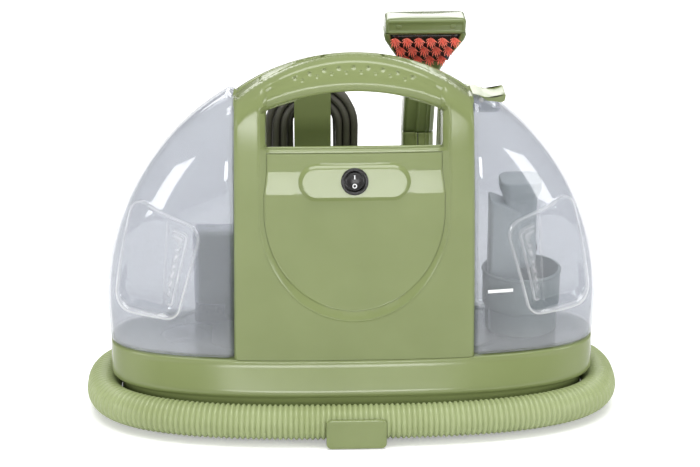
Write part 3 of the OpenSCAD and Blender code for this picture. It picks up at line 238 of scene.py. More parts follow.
def joinParts(parts):
    points, faces, start = [], [], 0
    for p, f in parts:
        points.append(np.asarray(p, float))
        faces += [tuple(int(i) + start for i in face) for face in f]
        start += len(p)
    return np.vstack(points), faces


def along(line, step, closed=False):
    # the same line with points about step apart
    line = np.asarray(line, float)
    if closed:
        line = np.vstack([line, line[:1]])
    lengths = np.r_[0, np.cumsum(np.linalg.norm(np.diff(line, axis=0), axis=1))]
    count = max(2, int(round(lengths[-1] / step)) + 1)
    at = np.linspace(0, lengths[-1], count)
    out = np.column_stack([np.interp(at, lengths, line[:, k]) for k in range(line.shape[1])])
    return out[:-1] if closed else out


def roundOver(distance, radius):
    d = np.clip(distance, 0, radius)
    return radius - np.sqrt(np.maximum(0, radius**2 - (radius - d) ** 2))


def ramp(value, low, high):
    return np.clip((value - low) / (high - low), 0, 1)


def smoothRamp(value, low, high):
    t = ramp(value, low, high)
    return t * t * (3 - 2 * t)


def bell(value, centre, width):
    return np.exp(-(((value - centre) / width) ** 2))


def pairs(a, b):
    # two columns, where either may be a single number
    return np.column_stack(np.broadcast_arrays(a, b))


def bothSides(x, z):
    return [pairs(sign * x, z) for sign in (-1, 1)]


def circle(centre, radius, count):
    t = np.linspace(0, 2 * math.pi, count, endpoint=False)
    return np.column_stack([centre[0] + radius * np.cos(t), centre[1] + radius * np.sin(t)])


def standing(loop, y):
    # a flat loop in x and z stood up at depth y
    return np.column_stack([loop[:, 0], np.broadcast_to(y, len(loop)), loop[:, 1]])


def lying(outline, z):
    # a flat outline in x and y laid at height z
    return np.column_stack([outline, np.broadcast_to(z, len(outline))])


def onFace(loop, depthAt):
    return standing(loop, depthAt(loop[:, 0], loop[:, 1]))


def inLoop(loop):
    # even-odd test against a closed loop
    a, b = loop, np.roll(loop, -1, axis=0)

    def test(points):
        inside = np.zeros(len(points), bool)
        for (x0, z0), (x1, z1) in zip(a, b):
            crosses = (z0 > points[:, 1]) != (z1 > points[:, 1])
            if z0 != z1:
                inside ^= crosses & (points[:, 0] < (x1 - x0) * (points[:, 1] - z0) / (z1 - z0) + x0)
        return inside

    return test


def between(outer, *holes):
    # a test for points inside the first loop and outside the others
    inOuter, inHoles = inLoop(outer), [inLoop(hole) for hole in holes]

    def test(points):
        result = inOuter(points)
        for inHole in inHoles:
            result &= ~inHole(points)
        return result

    return test


def softRect(width, depth, radius, steps=8):
    points = []
    for cx, cy, start in ((1, 1, 0), (-1, 1, 90), (-1, -1, 180), (1, -1, 270)):
        for i in range(steps + 1):
            a = math.radians(start + 90 * i / steps)
            x = cx * (width / 2 - radius) + radius * math.cos(a)
            points.append((x, cy * (depth / 2 - radius) + radius * math.sin(a)))
    return np.array(points)


def block(centre, width, depth, corner, sharpest, levels):
    # rings of an upright block with round corners; each level is (growth, height)
    rings = []
    for grow, z in levels:
        outline = softRect(width + 2 * grow, depth + 2 * grow, max(sharpest, corner + grow))
        rings.append(lying(outline + centre, z))
    return rings


def finishShell(name, parts, smoothAngle, wall, nodeName):
    # joins the parts into one green skin of the base and gives it its wall
    points, faces = joinParts(parts)
    obj = thicken(makeObject(name, points, faces, smoothAngle, weld=0.02), wall)
    dress(obj, greenAbs, "base", [nodeName])
    print(name, len(obj.data.polygons), "faces")


# the machine's own curves, in millimetres
body = dict(
    squareness=2.7, halfLength=203, widest=95, domeRise=206, frontRise=236, tankRise=215, bandDepth=64, tankDepth=62
)
band = dict(
    halfWidth=98, draft=0.7, rim=62, top=310, archRadius=148, barHeight=27, windowRadius=188, windowHalf=71.5,
    windowCorner=268.9, lip=240, split=-22, seam=0.15, deckLean=0.42, shoulder=262, crownHalf=95.3, wall=1.6, smooth=28,
)
archMiddle = band["top"] - band["archRadius"]
windowMiddle = band["top"] - band["barHeight"] - band["windowRadius"]


def bow(x, a):
    return np.maximum(0, 1 - np.minimum(1, np.abs(x) / a) ** body["squareness"]) ** (1 / body["squareness"])


def ringPoint(a, d, t):
    power = 2 / body["squareness"]
    c, s = np.cos(t), np.sin(t)
    return a * np.sign(c) * np.abs(c) ** power, d * np.sign(s) * np.abs(s) ** power


def halfLength(z):
    rise = np.clip((z - body["widest"]) / body["domeRise"], 0, 1)
    low = body["halfLength"] - (body["widest"] - z) * 0.05
    return np.where(z <= body["widest"], low, body["halfLength"] * np.sqrt(np.maximum(0, 1 - rise**2)))


def dome(z, depth, rise):
    share = np.clip((z - body["widest"]) / rise, 0, 1)
    return np.where(z <= body["widest"], depth, depth * np.maximum(0, 1 - share**2.6) ** (1 / 2.6))


def bandSkin(x, z):
    return -dome(z, body["bandDepth"], body["frontRise"]) * bow(x, body["halfLength"])


def bandHalf(z):
    return band["halfWidth"] - (z - band["rim"]) * math.tan(math.radians(band["draft"]))


def archTop(x):
    return archMiddle + np.sqrt(np.maximum(0, band["archRadius"] ** 2 - np.asarray(x) ** 2))


def windowTop(x):
    return windowMiddle + np.sqrt(band["windowRadius"] ** 2 - np.asarray(x) ** 2)


def arcRow(radius, middle, half, count):
    # points on a circle above the middle, out to half on each side
    reach = math.asin(min(1, half / radius))
    t = np.linspace(-reach, reach, count)
    return np.column_stack([radius * np.sin(t), middle + radius * np.cos(t)])


def windowEdges(x, z):
    # distance above the window's top edge, distance outside its upper corners, and what is in its span
    over = np.hypot(x, z - windowMiddle) - band["windowRadius"]
    corner = np.hypot(np.maximum(0, np.abs(x) - band["windowHalf"]), np.maximum(0, z - band["windowCorner"]))
    return over, corner, np.abs(x) < band["windowHalf"]


def windowDrop(window, sill):
    # 0 above the window's corners, 1 on its sill
    return np.clip((band["windowCorner"] - window[:, 1]) / (band["windowCorner"] - sill), 0, 1)


# camera
view = dict(azimuth=-2.2, elevation=20.3, distance=2200, target=(-1.5, 0, 148.9), focal=136.6, sensor=36)


def addCamera():
    lens = bpy.data.cameras.new("studioCamera")
    lens.lens, lens.sensor_width, lens.sensor_fit = view["focal"], view["sensor"], "HORIZONTAL"
    lens.clip_end = 50
    camera = addObject("studioCamera", lens)
    a, e = math.radians(view["azimuth"]), math.radians(view["elevation"])
    forward = Vector((-math.sin(a) * math.cos(e), math.cos(a) * math.cos(e), -math.sin(e)))
    target = Vector(view["target"])
    camera.location = (target - forward * view["distance"]) * mm
    camera.rotation_euler = forward.to_track_quat("-Z", "Y").to_euler()
    bpy.context.scene.camera = camera


addCamera()
bpy.context.scene.view_settings.view_transform = "Standard"


# materials
def startTree(owner):
    owner.use_nodes = True
    owner.node_tree.nodes.clear()
    return owner.node_tree


def addNoise(tree, place, grain, detail):
    # grain in millimetres
    sockets = {"Vector": place.outputs["Object"], "Scale": 1000 / grain, "Detail": detail}
    return addNode(tree, "ShaderNodeTexNoise", sockets).outputs["Fac"]


def mixShaders(tree, share, first, second):
    return addNode(tree, "ShaderNodeMixShader", {"Fac": share, 1: first, 2: second}).outputs["Shader"]


def mouldedPlastic(name, light, deep, roughness=0.3, grain=0.9, relief=0.012, patch=60, edge=0.45):
    # injection-moulded plastic: an even colour with a faint drift from place to place, and a
    # polished skin whose fine ripple breaks up the edge of a reflection
    material = bpy.data.materials.new(name)
    tree = startTree(material)
    place = addNode(tree, "ShaderNodeTexCoord")
    colours = addNode(tree, "ShaderNodeValToRGB", {"Fac": addNoise(tree, place, patch, 3)})
    low, high = colours.color_ramp.elements
    low.position, high.position = 0.3, 0.7
    low.color, high.color = hexColour(deep), hexColour(light)
    ripple = addNoise(tree, place, grain, 2)
    span = {"Value": ripple, "From Min": 0.3, "From Max": 0.7, "To Min": roughness - 0.03, "To Max": roughness + 0.04}
    gloss = addNode(tree, "ShaderNodeMapRange", span)
    rounded = addNode(tree, "ShaderNodeBevel", {"Radius": edge * mm}, samples=4)
    height = {"Height": ripple, "Strength": 0.35, "Distance": relief * mm, "Normal": rounded.outputs["Normal"]}
    bump = addNode(tree, "ShaderNodeBump", height)
    skin = {
        "Base Color": colours.outputs["Color"],
        "Roughness": gloss.outputs["Result"],
        "Normal": bump.outputs["Normal"],
    }
    shader = addNode(tree, "ShaderNodeBsdfPrincipled", skin)
    addNode(tree, "ShaderNodeOutputMaterial", {"Surface": shader.outputs["BSDF"]})
    return material


def clearPlastic(name, tint, colour, cover, roughness=0.07):
    # blow-moulded clear plastic: a thin smoky wall that shows what is inside, with sharp
    # reflections and a fine waviness from the mould
    material = bpy.data.materials.new(name)
    tree = startTree(material)
    place = addNode(tree, "ShaderNodeTexCoord")
    waves = addNoise(tree, place, 35, 2)
    bump = addNode(tree, "ShaderNodeBump", {"Height": waves, "Strength": 0.25, "Distance": 0.5 * mm})
    through = addNode(tree, "ShaderNodeBsdfTransparent", {"Color": hexColour(tint)})
    # creases of the wall are thicker plastic and milkier, and also carry a painted highlight: the crease attribute
    # turns the haze whiter and denser there
    crease = addNode(tree, "ShaderNodeAttribute", attribute_name="crease").outputs["Fac"]
    milkAndHighlight = addNode(tree, "ShaderNodeValToRGB", {"Fac": crease})
    low, high = milkAndHighlight.color_ramp.elements
    low.color, high.color, high.position = hexColour(colour), hexColour("#FFFFFF"), 0.7
    front = addNode(tree, "ShaderNodeBsdfDiffuse", {"Color": milkAndHighlight.outputs["Color"]})
    behind = addNode(tree, "ShaderNodeBsdfTranslucent", {"Color": milkAndHighlight.outputs["Color"]})
    haze = mixShaders(tree, 0.4, front.outputs["BSDF"], behind.outputs["BSDF"])
    coverAndHighlight = addNode(tree, "ShaderNodeMapRange", {"Value": crease, "To Min": cover, "To Max": cover + 0.5})
    layers = mixShaders(tree, coverAndHighlight.outputs["Result"], through.outputs["BSDF"], haze)
    gloss = {"Color": hexColour("#FFFFFF"), "Roughness": roughness, "Normal": bump.outputs["Normal"]}
    shine = addNode(tree, "ShaderNodeBsdfGlossy", gloss)
    # the same falloff from both sides of the wall
    facing = addNode(tree, "ShaderNodeLayerWeight", {"Blend": 0.5, "Normal": bump.outputs["Normal"]})
    steep = addMath(tree, "POWER", facing.outputs["Facing"], 5.0)
    mirror = addMath(tree, "MULTIPLY_ADD", steep, 0.5, 0.04)
    both = mixShaders(tree, mirror, layers, shine.outputs["BSDF"])
    addNode(tree, "ShaderNodeOutputMaterial", {"Surface": both})
    return material


def metal(name, colour, roughness, grain=0.4):
    # bare steel: brushed fine enough that only the highlight is softened
    material = bpy.data.materials.new(name)
    tree = startTree(material)
    brush = addNoise(tree, addNode(tree, "ShaderNodeTexCoord"), grain, 2)
    span = {"Value": brush, "To Min": roughness * 0.7, "To Max": roughness * 1.3}
    gloss = addNode(tree, "ShaderNodeMapRange", span)
    skin = {"Base Color": hexColour(colour), "Metallic": 1.0, "Roughness": gloss.outputs["Result"]}
    shader = addNode(tree, "ShaderNodeBsdfPrincipled", skin)
    addNode(tree, "ShaderNodeOutputMaterial", {"Surface": shader.outputs["BSDF"]})
    return material


greenAbs = mouldedPlastic("glossyGreenAbs", "#7E8959", "#788353", roughness=0.19)
# a copy of the green plastic for the wand, painted lighter to offset the shade that falls on it behind the handle's
# window
wandGreenLitCopy = mouldedPlastic("greenAbsLitCopyForWand", "#8A9562", "#848F5B", roughness=0.24)
hosePvc = mouldedPlastic("satinGreenVinyl", "#9BA678", "#909B6B", roughness=0.36, grain=0.7, relief=0.03, edge=0.15)
oliveAbs = mouldedPlastic("deepOliveAbs", "#6E7A4C", "#667246", roughness=0.2)
# the riser is the same plastic, thinner, so more light comes through it; that light is painted into a lighter copy of
# its colour
riserGreyLitCopy = mouldedPlastic("greyPolypropyleneLitCopy", "#C4CCCA", "#B9C2BF", roughness=0.35)
clearPetg = clearPlastic("smokyClearPetg", "#F8F9FB", "#A2A6AE", 0.25)
clearTube = clearPlastic("clearVinylTube", "#F4F6F7", "#C0C8CC", 0.2)
greyClear = mouldedPlastic("greyGreenPolypropylene", "#95A19A", "#8A9690", roughness=0.4)
blackAbs = mouldedPlastic("blackAbs", "#1B1A1A", "#141313", roughness=0.28)
rubber = mouldedPlastic("softBlackRubber", "#26262A", "#1E1E20", roughness=0.65, grain=0.5, relief=0.05)
cordPvc = mouldedPlastic("warmGreyCordVinyl", "#5C5A52", "#4F4D46", roughness=0.48, grain=0.6, relief=0.02)
steel = metal("nickelSteel", "#B9B8B4", 0.28)
motorSteel = metal("zincSteel", "#8F9093", 0.4)
coralNylon = mouldedPlastic("coralNylonBristle", "#FF9A86", "#FF836E", roughness=0.45, patch=6, edge=0.05)

slotMaterials = dict(
    green=greenAbs,
    hose=hosePvc,
    dark_green=oliveAbs,
    smoke=clearPetg,
    clear_tube=clearTube,
    grey_clear=greyClear,
    black=blackAbs,
    rubber=rubber,
    cord=cordPvc,
    steel=steel,
    motor=motorSteel,
    coral=coralNylon,
)
print("materials made:", len(bpy.data.materials))


# power cord, wound on its hooks
cordPlan = dict(
    post=-31,
    layer=54.4,
    pitch=6.55,
    turn=18,
    low=100,
    high=226,
    runShare=0.27,
    start=-0.135,
    end=10.635,
    reverses=(3, 5.5, 8),
    reliefFoot=62,
    reliefHeight=22,
    tailDrop=14,
    tailLean=3.4,
    diameter=6,
)


def cordPoint(t):
    c = cordPlan
    first, second, third = c["reverses"]
    turns = first - t if t < first else t - first if t < second else third - t if t < third else t - third
    y = c["layer"] + c["pitch"] * sum(min(1, max(0, (t - r) / c["runShare"] + 0.5)) for r in c["reverses"])
    half, fold = c["runShare"] / 2, 0.5 - c["runShare"]
    p = t - math.floor(t + half)
    r = c["turn"] + c["pitch"] * turns
    run = c["high"] - c["low"]
    if p < half:
        return (c["post"] - r, y, c["low"] + run * (p + half) / c["runShare"])
    if p < half + fold:
        a = math.pi * (1 - (p - half) / fold)
        return (c["post"] + r * math.cos(a), y, c["high"] + r * math.sin(a))
    if p < 0.5 + half:
        return (c["post"] + r, y, c["high"] - run * (p - half - fold) / c["runShare"])
    a = -math.pi * (p - 0.5 - half) / fold
    return (c["post"] + r * math.cos(a), y, c["low"] + r * math.sin(a))


def cordRoute():
    c = cordPlan
    run, half, fold = c["runShare"], c["runShare"] / 2, 0.5 - c["runShare"]
    phases = []
    for start, span, count in ((-half, run, 3), (half, fold, 16), (0.5 - half, run, 3), (0.5 + half, fold, 16)):
        phases += [start + span * i / count for i in range(count)]
    turns = [n + p for n in range(12) for p in phases]
    turns = [t for t in turns if c["start"] - 0.001 <= t < c["end"] - 0.001] + [c["end"]]
    wound = [cordPoint(t + 0.00001) for t in turns]
    foot = c["reliefFoot"] + c["reliefHeight"]
    lead = [(wound[0][0], c["layer"], foot + (c["low"] - foot) * i / 4) for i in range(4)]
    end = wound[-1]
    tail = [(end[0], end[1] + c["tailLean"] * i / 3, end[2] - c["tailDrop"] * i / 3) for i in range(1, 4)]
    return lead + wound + tail


def addCord():
    route = cordRoute()
    cord = addCurve("powerCord", "powerCord", route)
    curve = cord.data
    curve.bevel_depth = cordPlan["diameter"] / 2 * mm
    curve.bevel_resolution = 5
    curve.use_fill_caps = True
    curve.splines[0].use_smooth = True
    curve.materials.append(cordPvc)
    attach(cord, "base")
    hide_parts("cord_lead", "cord_hank", "cord_tail")


addCord()


# floor, backdrop and lights
def addStage():
    size = 6
    floor = bpy.data.meshes.new("studioFloor")
    floor.from_pydata([(-size, -size, 0), (size, -size, 0), (size, size, 0), (-size, size, 0)], [], [(0, 1, 2, 3)])
    obj = addObject("studioFloor", floor)
    material = bpy.data.materials.new("whiteSweep")
    tree = startTree(material)
    paint = addNode(tree, "ShaderNodeBsdfDiffuse", {"Color": hexColour("#F4F4F4")}).outputs["BSDF"]
    glow = addNode(tree, "ShaderNodeEmission", {"Color": (1, 1, 1, 1), "Strength": 0.3})
    lit = addNode(tree, "ShaderNodeAddShader", {0: paint, 1: glow.outputs["Emission"]})
    path = addNode(tree, "ShaderNodeLightPath")
    seen = mixShaders(tree, path.outputs["Is Camera Ray"], paint, lit.outputs["Shader"])
    addNode(tree, "ShaderNodeOutputMaterial", {"Surface": seen})
    floor.materials.append(material)

    world = bpy.data.worlds.new("studioWorld")
    bpy.context.scene.world = world
    tree = startTree(world)
    path = addNode(tree, "ShaderNodeLightPath").outputs
    seen = addMath(tree, "ADD", path["Is Camera Ray"], path["Is Transmission Ray"], use_clamp=True)
    place = addNode(tree, "ShaderNodeTexCoord")
    height = addNode(tree, "ShaderNodeSeparateXYZ", {"Vector": place.outputs["Generated"]})
    span = {"Value": height.outputs["Z"], "From Min": 0.0, "From Max": 0.9, "To Min": 0.2, "To Max": 0.62}
    upper = addNode(tree, "ShaderNodeMapRange", span)
    soft = addNode(tree, "ShaderNodeBackground", {"Color": (1, 1, 1, 1), "Strength": upper.outputs["Result"]})
    white = addNode(tree, "ShaderNodeBackground", {"Color": (1, 1, 1, 1), "Strength": 1.0})
    both = mixShaders(tree, seen, soft.outputs["Background"], white.outputs["Background"])
    addNode(tree, "ShaderNodeOutputWorld", {"Surface": both})


def addPanel(name, centre, target, width, height, power):
    lamp = bpy.data.lights.new(name, "AREA")
    lamp.shape, lamp.size, lamp.size_y, lamp.energy = "RECTANGLE", width, height, power
    obj = addObject(name, lamp)
    obj.location = centre
    obj.rotation_euler = (Vector(target) - Vector(centre)).to_track_quat("-Z", "Y").to_euler()


addStage()
addPanel("overheadSoftbox", (0, -0.25, 2.1), (0, 0, 0.15), 2.0, 0.9, 34)
addPanel("frontStrip", (-0.1, -2.6, 0.53), (0, 0, 0.2), 1.4, 0.4, 19)
addPanel("leftSoftbox", (-1.9, -1.0, 0.66), (0, 0, 0.12), 0.7, 0.7, 12)
addPanel("rightSoftbox", (1.9, -1.0, 0.66), (0, 0, 0.12), 0.7, 0.7, 12)
addPanel("backSoftbox", (0, 2.0, 1.1), (0, 0, 0.18), 2.2, 0.9, 26)


# front housing and its panel
front = dict(
    beadHalf=75, beadDrop=89, beadMiddle=187, panelTop=237.3, ridge=0.72, ridgeWidth=2.2,
    facetLow=204, facetHigh=222, facetDepth=2.6, topRecess=0.9, lowRecess=2.6,
    barRecess=2.7, barLow=252, barFull=262, barHalf=70, barInset=6.5, ridgeEnd=(270, 282),
    chamfer=2.1, chamferLow=4.2, chamferTop=2.4,
    edge=2.2, archEdge=13, barEdge=9, pillarEdge=3, lipEdge=1.4, rimEdge=0.8,
)
dimples = dict(count=17, pitch=5.84, upper=7.3, lower=10.6, radius=1.75, depth=0.85, clear=2.7)
boss = dict(
    centre=214, tilt=14, floorWidth=83.6, floorHeight=23.2, wall=4, rise=2.8, hole=9.7, ledge=49.5, gap=0.25,
    rings=(-0.8, 0, 0.7, 2, 3.3, 4, 4.8), insets=(0.5, 0.9, 1.3, 1.9), skin=1.4,
)
# rows of mesh points, by their distance from the edge that they follow; for a dimple (radius, count)
frontRows = dict(
    bead=(0, 0.8, 1.6, 2.4),
    arch=(0.25, 0.9, 1.9, 3.2, 4.8, 6.5, 8.2, 10, 12, 14),
    window=(0.2, 0.7, 1.6, 3, 4.8, 6.8, 9, 10.5),
    windowReach=70.8,
    side=(0.25, 0.8, 1.5, 2.4),
    pillar=(70.6, 70, 69.5, 69, 67.5, 66.5),
    lip=(0.3, 0.8, 1.5),
    dimple=((0.05, 1), (0.6, 6), (1.15, 10), (1.75, 14), (2.3, 14)),
)


def beadSide(x, z):
    # distance outside the U-shaped bead
    drop = np.maximum(0, front["beadMiddle"] - z)
    a, b = front["beadHalf"], front["beadDrop"]
    f = np.hypot(x / a, drop / b)
    slope = np.hypot(x / a**2, drop / b**2)
    oval = (f - 1) * f / np.maximum(slope, 1e-6)
    return np.where(z >= front["beadMiddle"], np.abs(x) - a, oval)


def panelDepth(z):
    low = front["lowRecess"] + (front["topRecess"] - front["lowRecess"]) * ramp(z, 98, front["facetLow"])
    return low + front["facetDepth"] * ramp(z, front["facetLow"], front["facetHigh"])


def chamferWidth(z):
    wide = front["chamfer"] + front["chamferLow"] * ramp(front["beadMiddle"] - z, 0, front["beadDrop"]) ** 1.5
    return wide + front["chamferTop"] * ramp(z, front["facetLow"], front["facetHigh"])


def panelEdge(inset=0.0, count=150, top=front["panelTop"]):
    # inner line of the chamfer, from the top left down and round to the top right
    arm = np.unique(np.r_[np.arange(top, front["beadMiddle"], -2.0), front["facetLow"], front["facetHigh"]])[::-1]
    left = np.column_stack([-(front["beadHalf"] - chamferWidth(arm) - inset), arm])
    angle = np.linspace(math.pi, 2 * math.pi, count)
    z = front["beadMiddle"] + front["beadDrop"] * np.sin(angle)
    normal = np.column_stack([np.cos(angle) / front["beadHalf"], np.sin(angle) / front["beadDrop"]])
    normal /= np.linalg.norm(normal, axis=1)[:, None]
    curve = np.column_stack([front["beadHalf"] * np.cos(angle), z]) - normal * (chamferWidth(z) + inset)[:, None]
    right = left[::-1] * [-1, 1]
    return np.vstack([left, curve, right])


def dimpleCentres():
    places = []
    for i in range(dimples["count"]):
        x = (i - (dimples["count"] - 1) / 2) * dimples["pitch"]
        depth = dimples["upper"] if i % 2 == 0 else dimples["lower"]
        places.append((x, float(archTop(x)) - depth))
    return np.array(places)


def bandFrontY(x, z):
    # front face of the housing, seen square on
    arch = band["archRadius"] - np.hypot(x, z - archMiddle)
    y = bandSkin(x, z)
    y = y + roundOver(np.where(z > 200, arch, 99), front["archEdge"])
    y = y + roundOver(bandHalf(z) - np.abs(x), front["edge"])
    y = y + roundOver(z - band["rim"], front["rimEdge"])
    side, width = beadSide(x, z), chamferWidth(z)
    fade = 1 - smoothRamp(z, *front["ridgeEnd"])
    ridge = np.sin(np.pi * np.clip(side / front["ridgeWidth"], 0, 1)) * front["ridge"] * fade
    y = y - ridge
    slope = np.clip(-side / width, 0, 1) * panelDepth(np.minimum(z, front["panelTop"]))
    barLow, barShare = front["barLow"], smoothRamp(z, front["barLow"], front["barFull"])
    y = y + np.where(z < barLow, slope, slope * (1 - barShare))
    pocket = np.minimum(front["barHalf"] - np.abs(x), arch - front["barInset"])
    bar = front["barRecess"] * smoothRamp(pocket, -3.5, 0.5) + 0.5 * ramp(pocket, 0, 0.5)
    y = y + np.where(z > barLow, bar * barShare, 0)
    # edges of the window: a deep roll under the bar, small ones on the pillars and the lip
    over, corner, inSpan = windowEdges(x, z)
    y = y + np.where(inSpan & (z > 255), roundOver(over, front["barEdge"]), 0)
    y = y + np.where((~inSpan) & (z > band["lip"]), roundOver(corner, front["pillarEdge"]), 0)
    y = y + np.where(inSpan & (z < 250), roundOver(band["lip"] - z, front["lipEdge"]), 0)
    for cx, cz in dimpleCentres():
        share = np.hypot(x - cx, z - cz) / dimples["radius"]
        y = y + dimples["depth"] * np.maximum(0, 1 - share**2)
    return y


def stadium(width, height, step=2.0):
    r = height / 2
    half = width / 2 - r
    arc = np.linspace(-math.pi / 2, math.pi / 2, 24)
    right = np.column_stack([half + r * np.cos(arc), r * np.sin(arc)])
    outline = np.vstack([right, -right])
    return along(outline, step, closed=True)


def stadiumSide(x, z, width, height):
    r = height / 2
    return np.hypot(np.maximum(0, np.abs(x) - (width / 2 - r)), z) - r


def panelY(x, z):
    # face of the set-in panel with its flat ledge and the raised pill round the switch
    y = bandSkin(x, z) + panelDepth(z)
    inset = -beadSide(x, z) - chamferWidth(z)
    y = y - 0.35 * np.sin(np.pi * np.clip(inset / 1.3, 0, 1))
    tilt, middle = math.radians(boss["tilt"]), np.array(boss["centre"])
    base = -float(dome(middle, body["bandDepth"], body["frontRise"])) + float(panelDepth(middle))
    local = (z - boss["centre"]) / math.cos(tilt)
    away = stadiumSide(x, local, boss["floorWidth"], boss["floorHeight"])
    face = base + (z - boss["centre"]) * math.tan(tilt) - boss["rise"] / math.cos(tilt)
    wall = face + (boss["rise"] + 1.2) * np.clip(away / boss["wall"], 0, 1.6)
    return np.where(away < boss["wall"] * 1.6, np.minimum(y, wall), y)


def windowLoop(bottom, step=2.0):
    half = band["windowHalf"]
    top = [(x, float(windowTop(x))) for x in np.linspace(half, -half, 60)]
    return along(np.array([(-half, bottom), (half, bottom)] + top), step, closed=True)


def bandLoop(step=2.0):
    half, side, foot, shoulder = band["halfWidth"], float(bandHalf(270)), band["rim"] + 0.3, band["shoulder"]
    crown = [(x, float(archTop(x))) for x in np.linspace(band["crownHalf"], -band["crownHalf"], 120)]
    corners = [(-half, foot), (half, foot), (side, shoulder)] + crown + [(-side, shoulder)]
    return along(np.array(corners), step, closed=True)


def closedTop(edge):
    return np.vstack([edge, along(np.array([edge[-1], edge[0]]), 2.0)[1:-1]])


def deckZ(y):
    # the deck behind the window falls towards the back
    return band["lip"] - max(0.0, y + 49.0) * band["deckLean"]


def addFrontHousing():
    outer, window, panelLoop = bandLoop(), windowLoop(band["lip"]), closedTop(panelEdge())
    inside = between(outer, window, panelLoop)
    lines, extra, dots = [], [], []
    arms = np.linspace(282, front["beadMiddle"], 48)
    angle = np.linspace(math.pi, 2 * math.pi, 150)[1:-1]
    for offset in frontRows["bead"]:
        a, b = front["beadHalf"] + offset, front["beadDrop"] + offset
        curve = np.column_stack([a * np.cos(angle), front["beadMiddle"] + b * np.sin(angle)])
        left = pairs(-a, arms)
        lines.append(np.vstack([left, curve, (left * [-1, 1])[::-1]]))
    for d in frontRows["arch"]:
        extra.append(arcRow(band["archRadius"] - d, archMiddle, 94.6 - d * 0.5, 150))
    for d in frontRows["window"]:
        extra.append(arcRow(band["windowRadius"] + d, windowMiddle, frontRows["windowReach"], 80))
    for d in frontRows["side"]:
        z = np.arange(66, 274 - d, 2.0)
        extra += bothSides(bandHalf(z) - d, z)
    for x in frontRows["pillar"]:
        extra += bothSides(x, np.linspace(273.5, float(archTop(x)) - 5, 18))
    for d in frontRows["lip"]:
        extra.append(pairs(np.arange(-68, 68.1, 2.0), band["lip"] - d))
    centres = dimpleCentres()
    for centre in centres:
        dots += [circle(centre, r, count) for r, count in frontRows["dimple"]]
    away = distanceTo(centres)
    clear = [g[[away(p) > dimples["clear"] for p in g]] for g in extra]
    extra = [g[inside(g)] for g in clear + dots]
    points, faces = triangulate([outer, window, panelLoop], lines, 3.2, inside, extra)
    back = band["split"] - band["seam"]
    opening, inner = onFace(window, bandFrontY), onFace(panelLoop, bandFrontY)
    rings = [opening]
    for depth in (-49, -36, back):
        ring = standing(window, depth)
        ring[:, 2] = window[:, 1] + windowDrop(window, band["lip"]) * (deckZ(depth) - band["lip"])
        ring[:, 1] = np.maximum(ring[:, 1], opening[:, 1] + 0.01)
        rings.append(ring)
    parts = [
        (onFace(points, bandFrontY), faces),
        strip([onFace(outer, bandFrontY), standing(outer, back)]),
        strip(rings, flip=True),
        strip([inner, inner + [0, 3.4, 0]], flip=True),
    ]
    finishShell("frontHousingShell", parts, band["smooth"], band["wall"], "front_housing")


def addFrontPanel():
    loop = closedTop(panelEdge(inset=boss["gap"], top=front["panelTop"] - 0.7))
    t = np.linspace(0, 2 * math.pi, 48, endpoint=False)
    tilt = math.radians(boss["tilt"])
    radius = boss["hole"]
    hole = np.column_stack([radius * np.cos(t), boss["centre"] + 1 + radius * np.sin(t) * math.cos(tilt)])
    inside = between(loop, hole)
    lines, extra = [], []
    for z in (front["facetLow"], front["facetHigh"]):
        half = front["beadHalf"] - float(chamferWidth(np.array(z))) - 2.2
        for sign in (-1, 1):
            x = np.arange(boss["ledge"], half, 2.0) * sign
            lines.append(pairs(x, z))
            extra += [pairs(x, z + 0.6), pairs(x, z - 0.6)]
    for grow in boss["rings"]:
        ring = stadium(boss["floorWidth"] + 2 * grow, boss["floorHeight"] + 2 * grow, 1.6)
        extra.append(np.column_stack([ring[:, 0], boss["centre"] + ring[:, 1] * math.cos(tilt)]))
    for inset in boss["insets"]:
        extra.append(panelEdge(inset=inset + boss["gap"], top=front["panelTop"] - 2))
    extra = [g[inside(g)] for g in extra]
    points, faces = triangulate([loop, hole], lines, 3.0, inside, extra)
    parts = [(onFace(points, panelY), faces)]
    for ring, flip in ((loop, False), (hole, True)):
        rim = onFace(ring, panelY)
        parts.append(strip([rim, rim + [0, 1.6, 0]], flip=flip))
    finishShell("frontPanelShell", parts, 14, boss["skin"], "front_panel")


addFrontHousing()
addFrontPanel()


# rear housing
rear = dict(
    face=46, leanFrom=186, lean=0.42, archEdge=12, edge=2.2, windowEdge=2.5, barEdge=6, sill=203.1,
    slots=10, slotX=22, slotZ=106, slotPitch=7, slotSize=(26, 3), slotDepth=2.4,
)
rearRows = dict(
    arch=(0.25, 0.9, 1.9, 3.2, 4.8, 6.5, 8.2, 10, 12),
    side=(0.25, 0.8, 1.5, 2.4),
    window=(0.3, 1, 2, 3.4, 5, 6.2),
    sill=(0.3, 1, 2, 2.6),
)


def rearY(x, z):
    arch = band["archRadius"] - np.hypot(x, z - archMiddle)
    over, corner, inSpan = windowEdges(x, z)
    y = rear["face"] - np.maximum(0, z - rear["leanFrom"]) * rear["lean"]
    y = y - roundOver(np.where(z > 200, arch, 99), rear["archEdge"])
    y = y - roundOver(bandHalf(z) - np.abs(x), rear["edge"])
    y = y - np.where(inSpan & (z > 255), roundOver(over, rear["barEdge"]), 0)
    y = y - np.where((~inSpan) & (z > rear["sill"]), roundOver(corner, rear["windowEdge"]), 0)
    y = y - np.where(inSpan & (z < 230), roundOver(rear["sill"] - z, rear["windowEdge"]), 0)
    return y


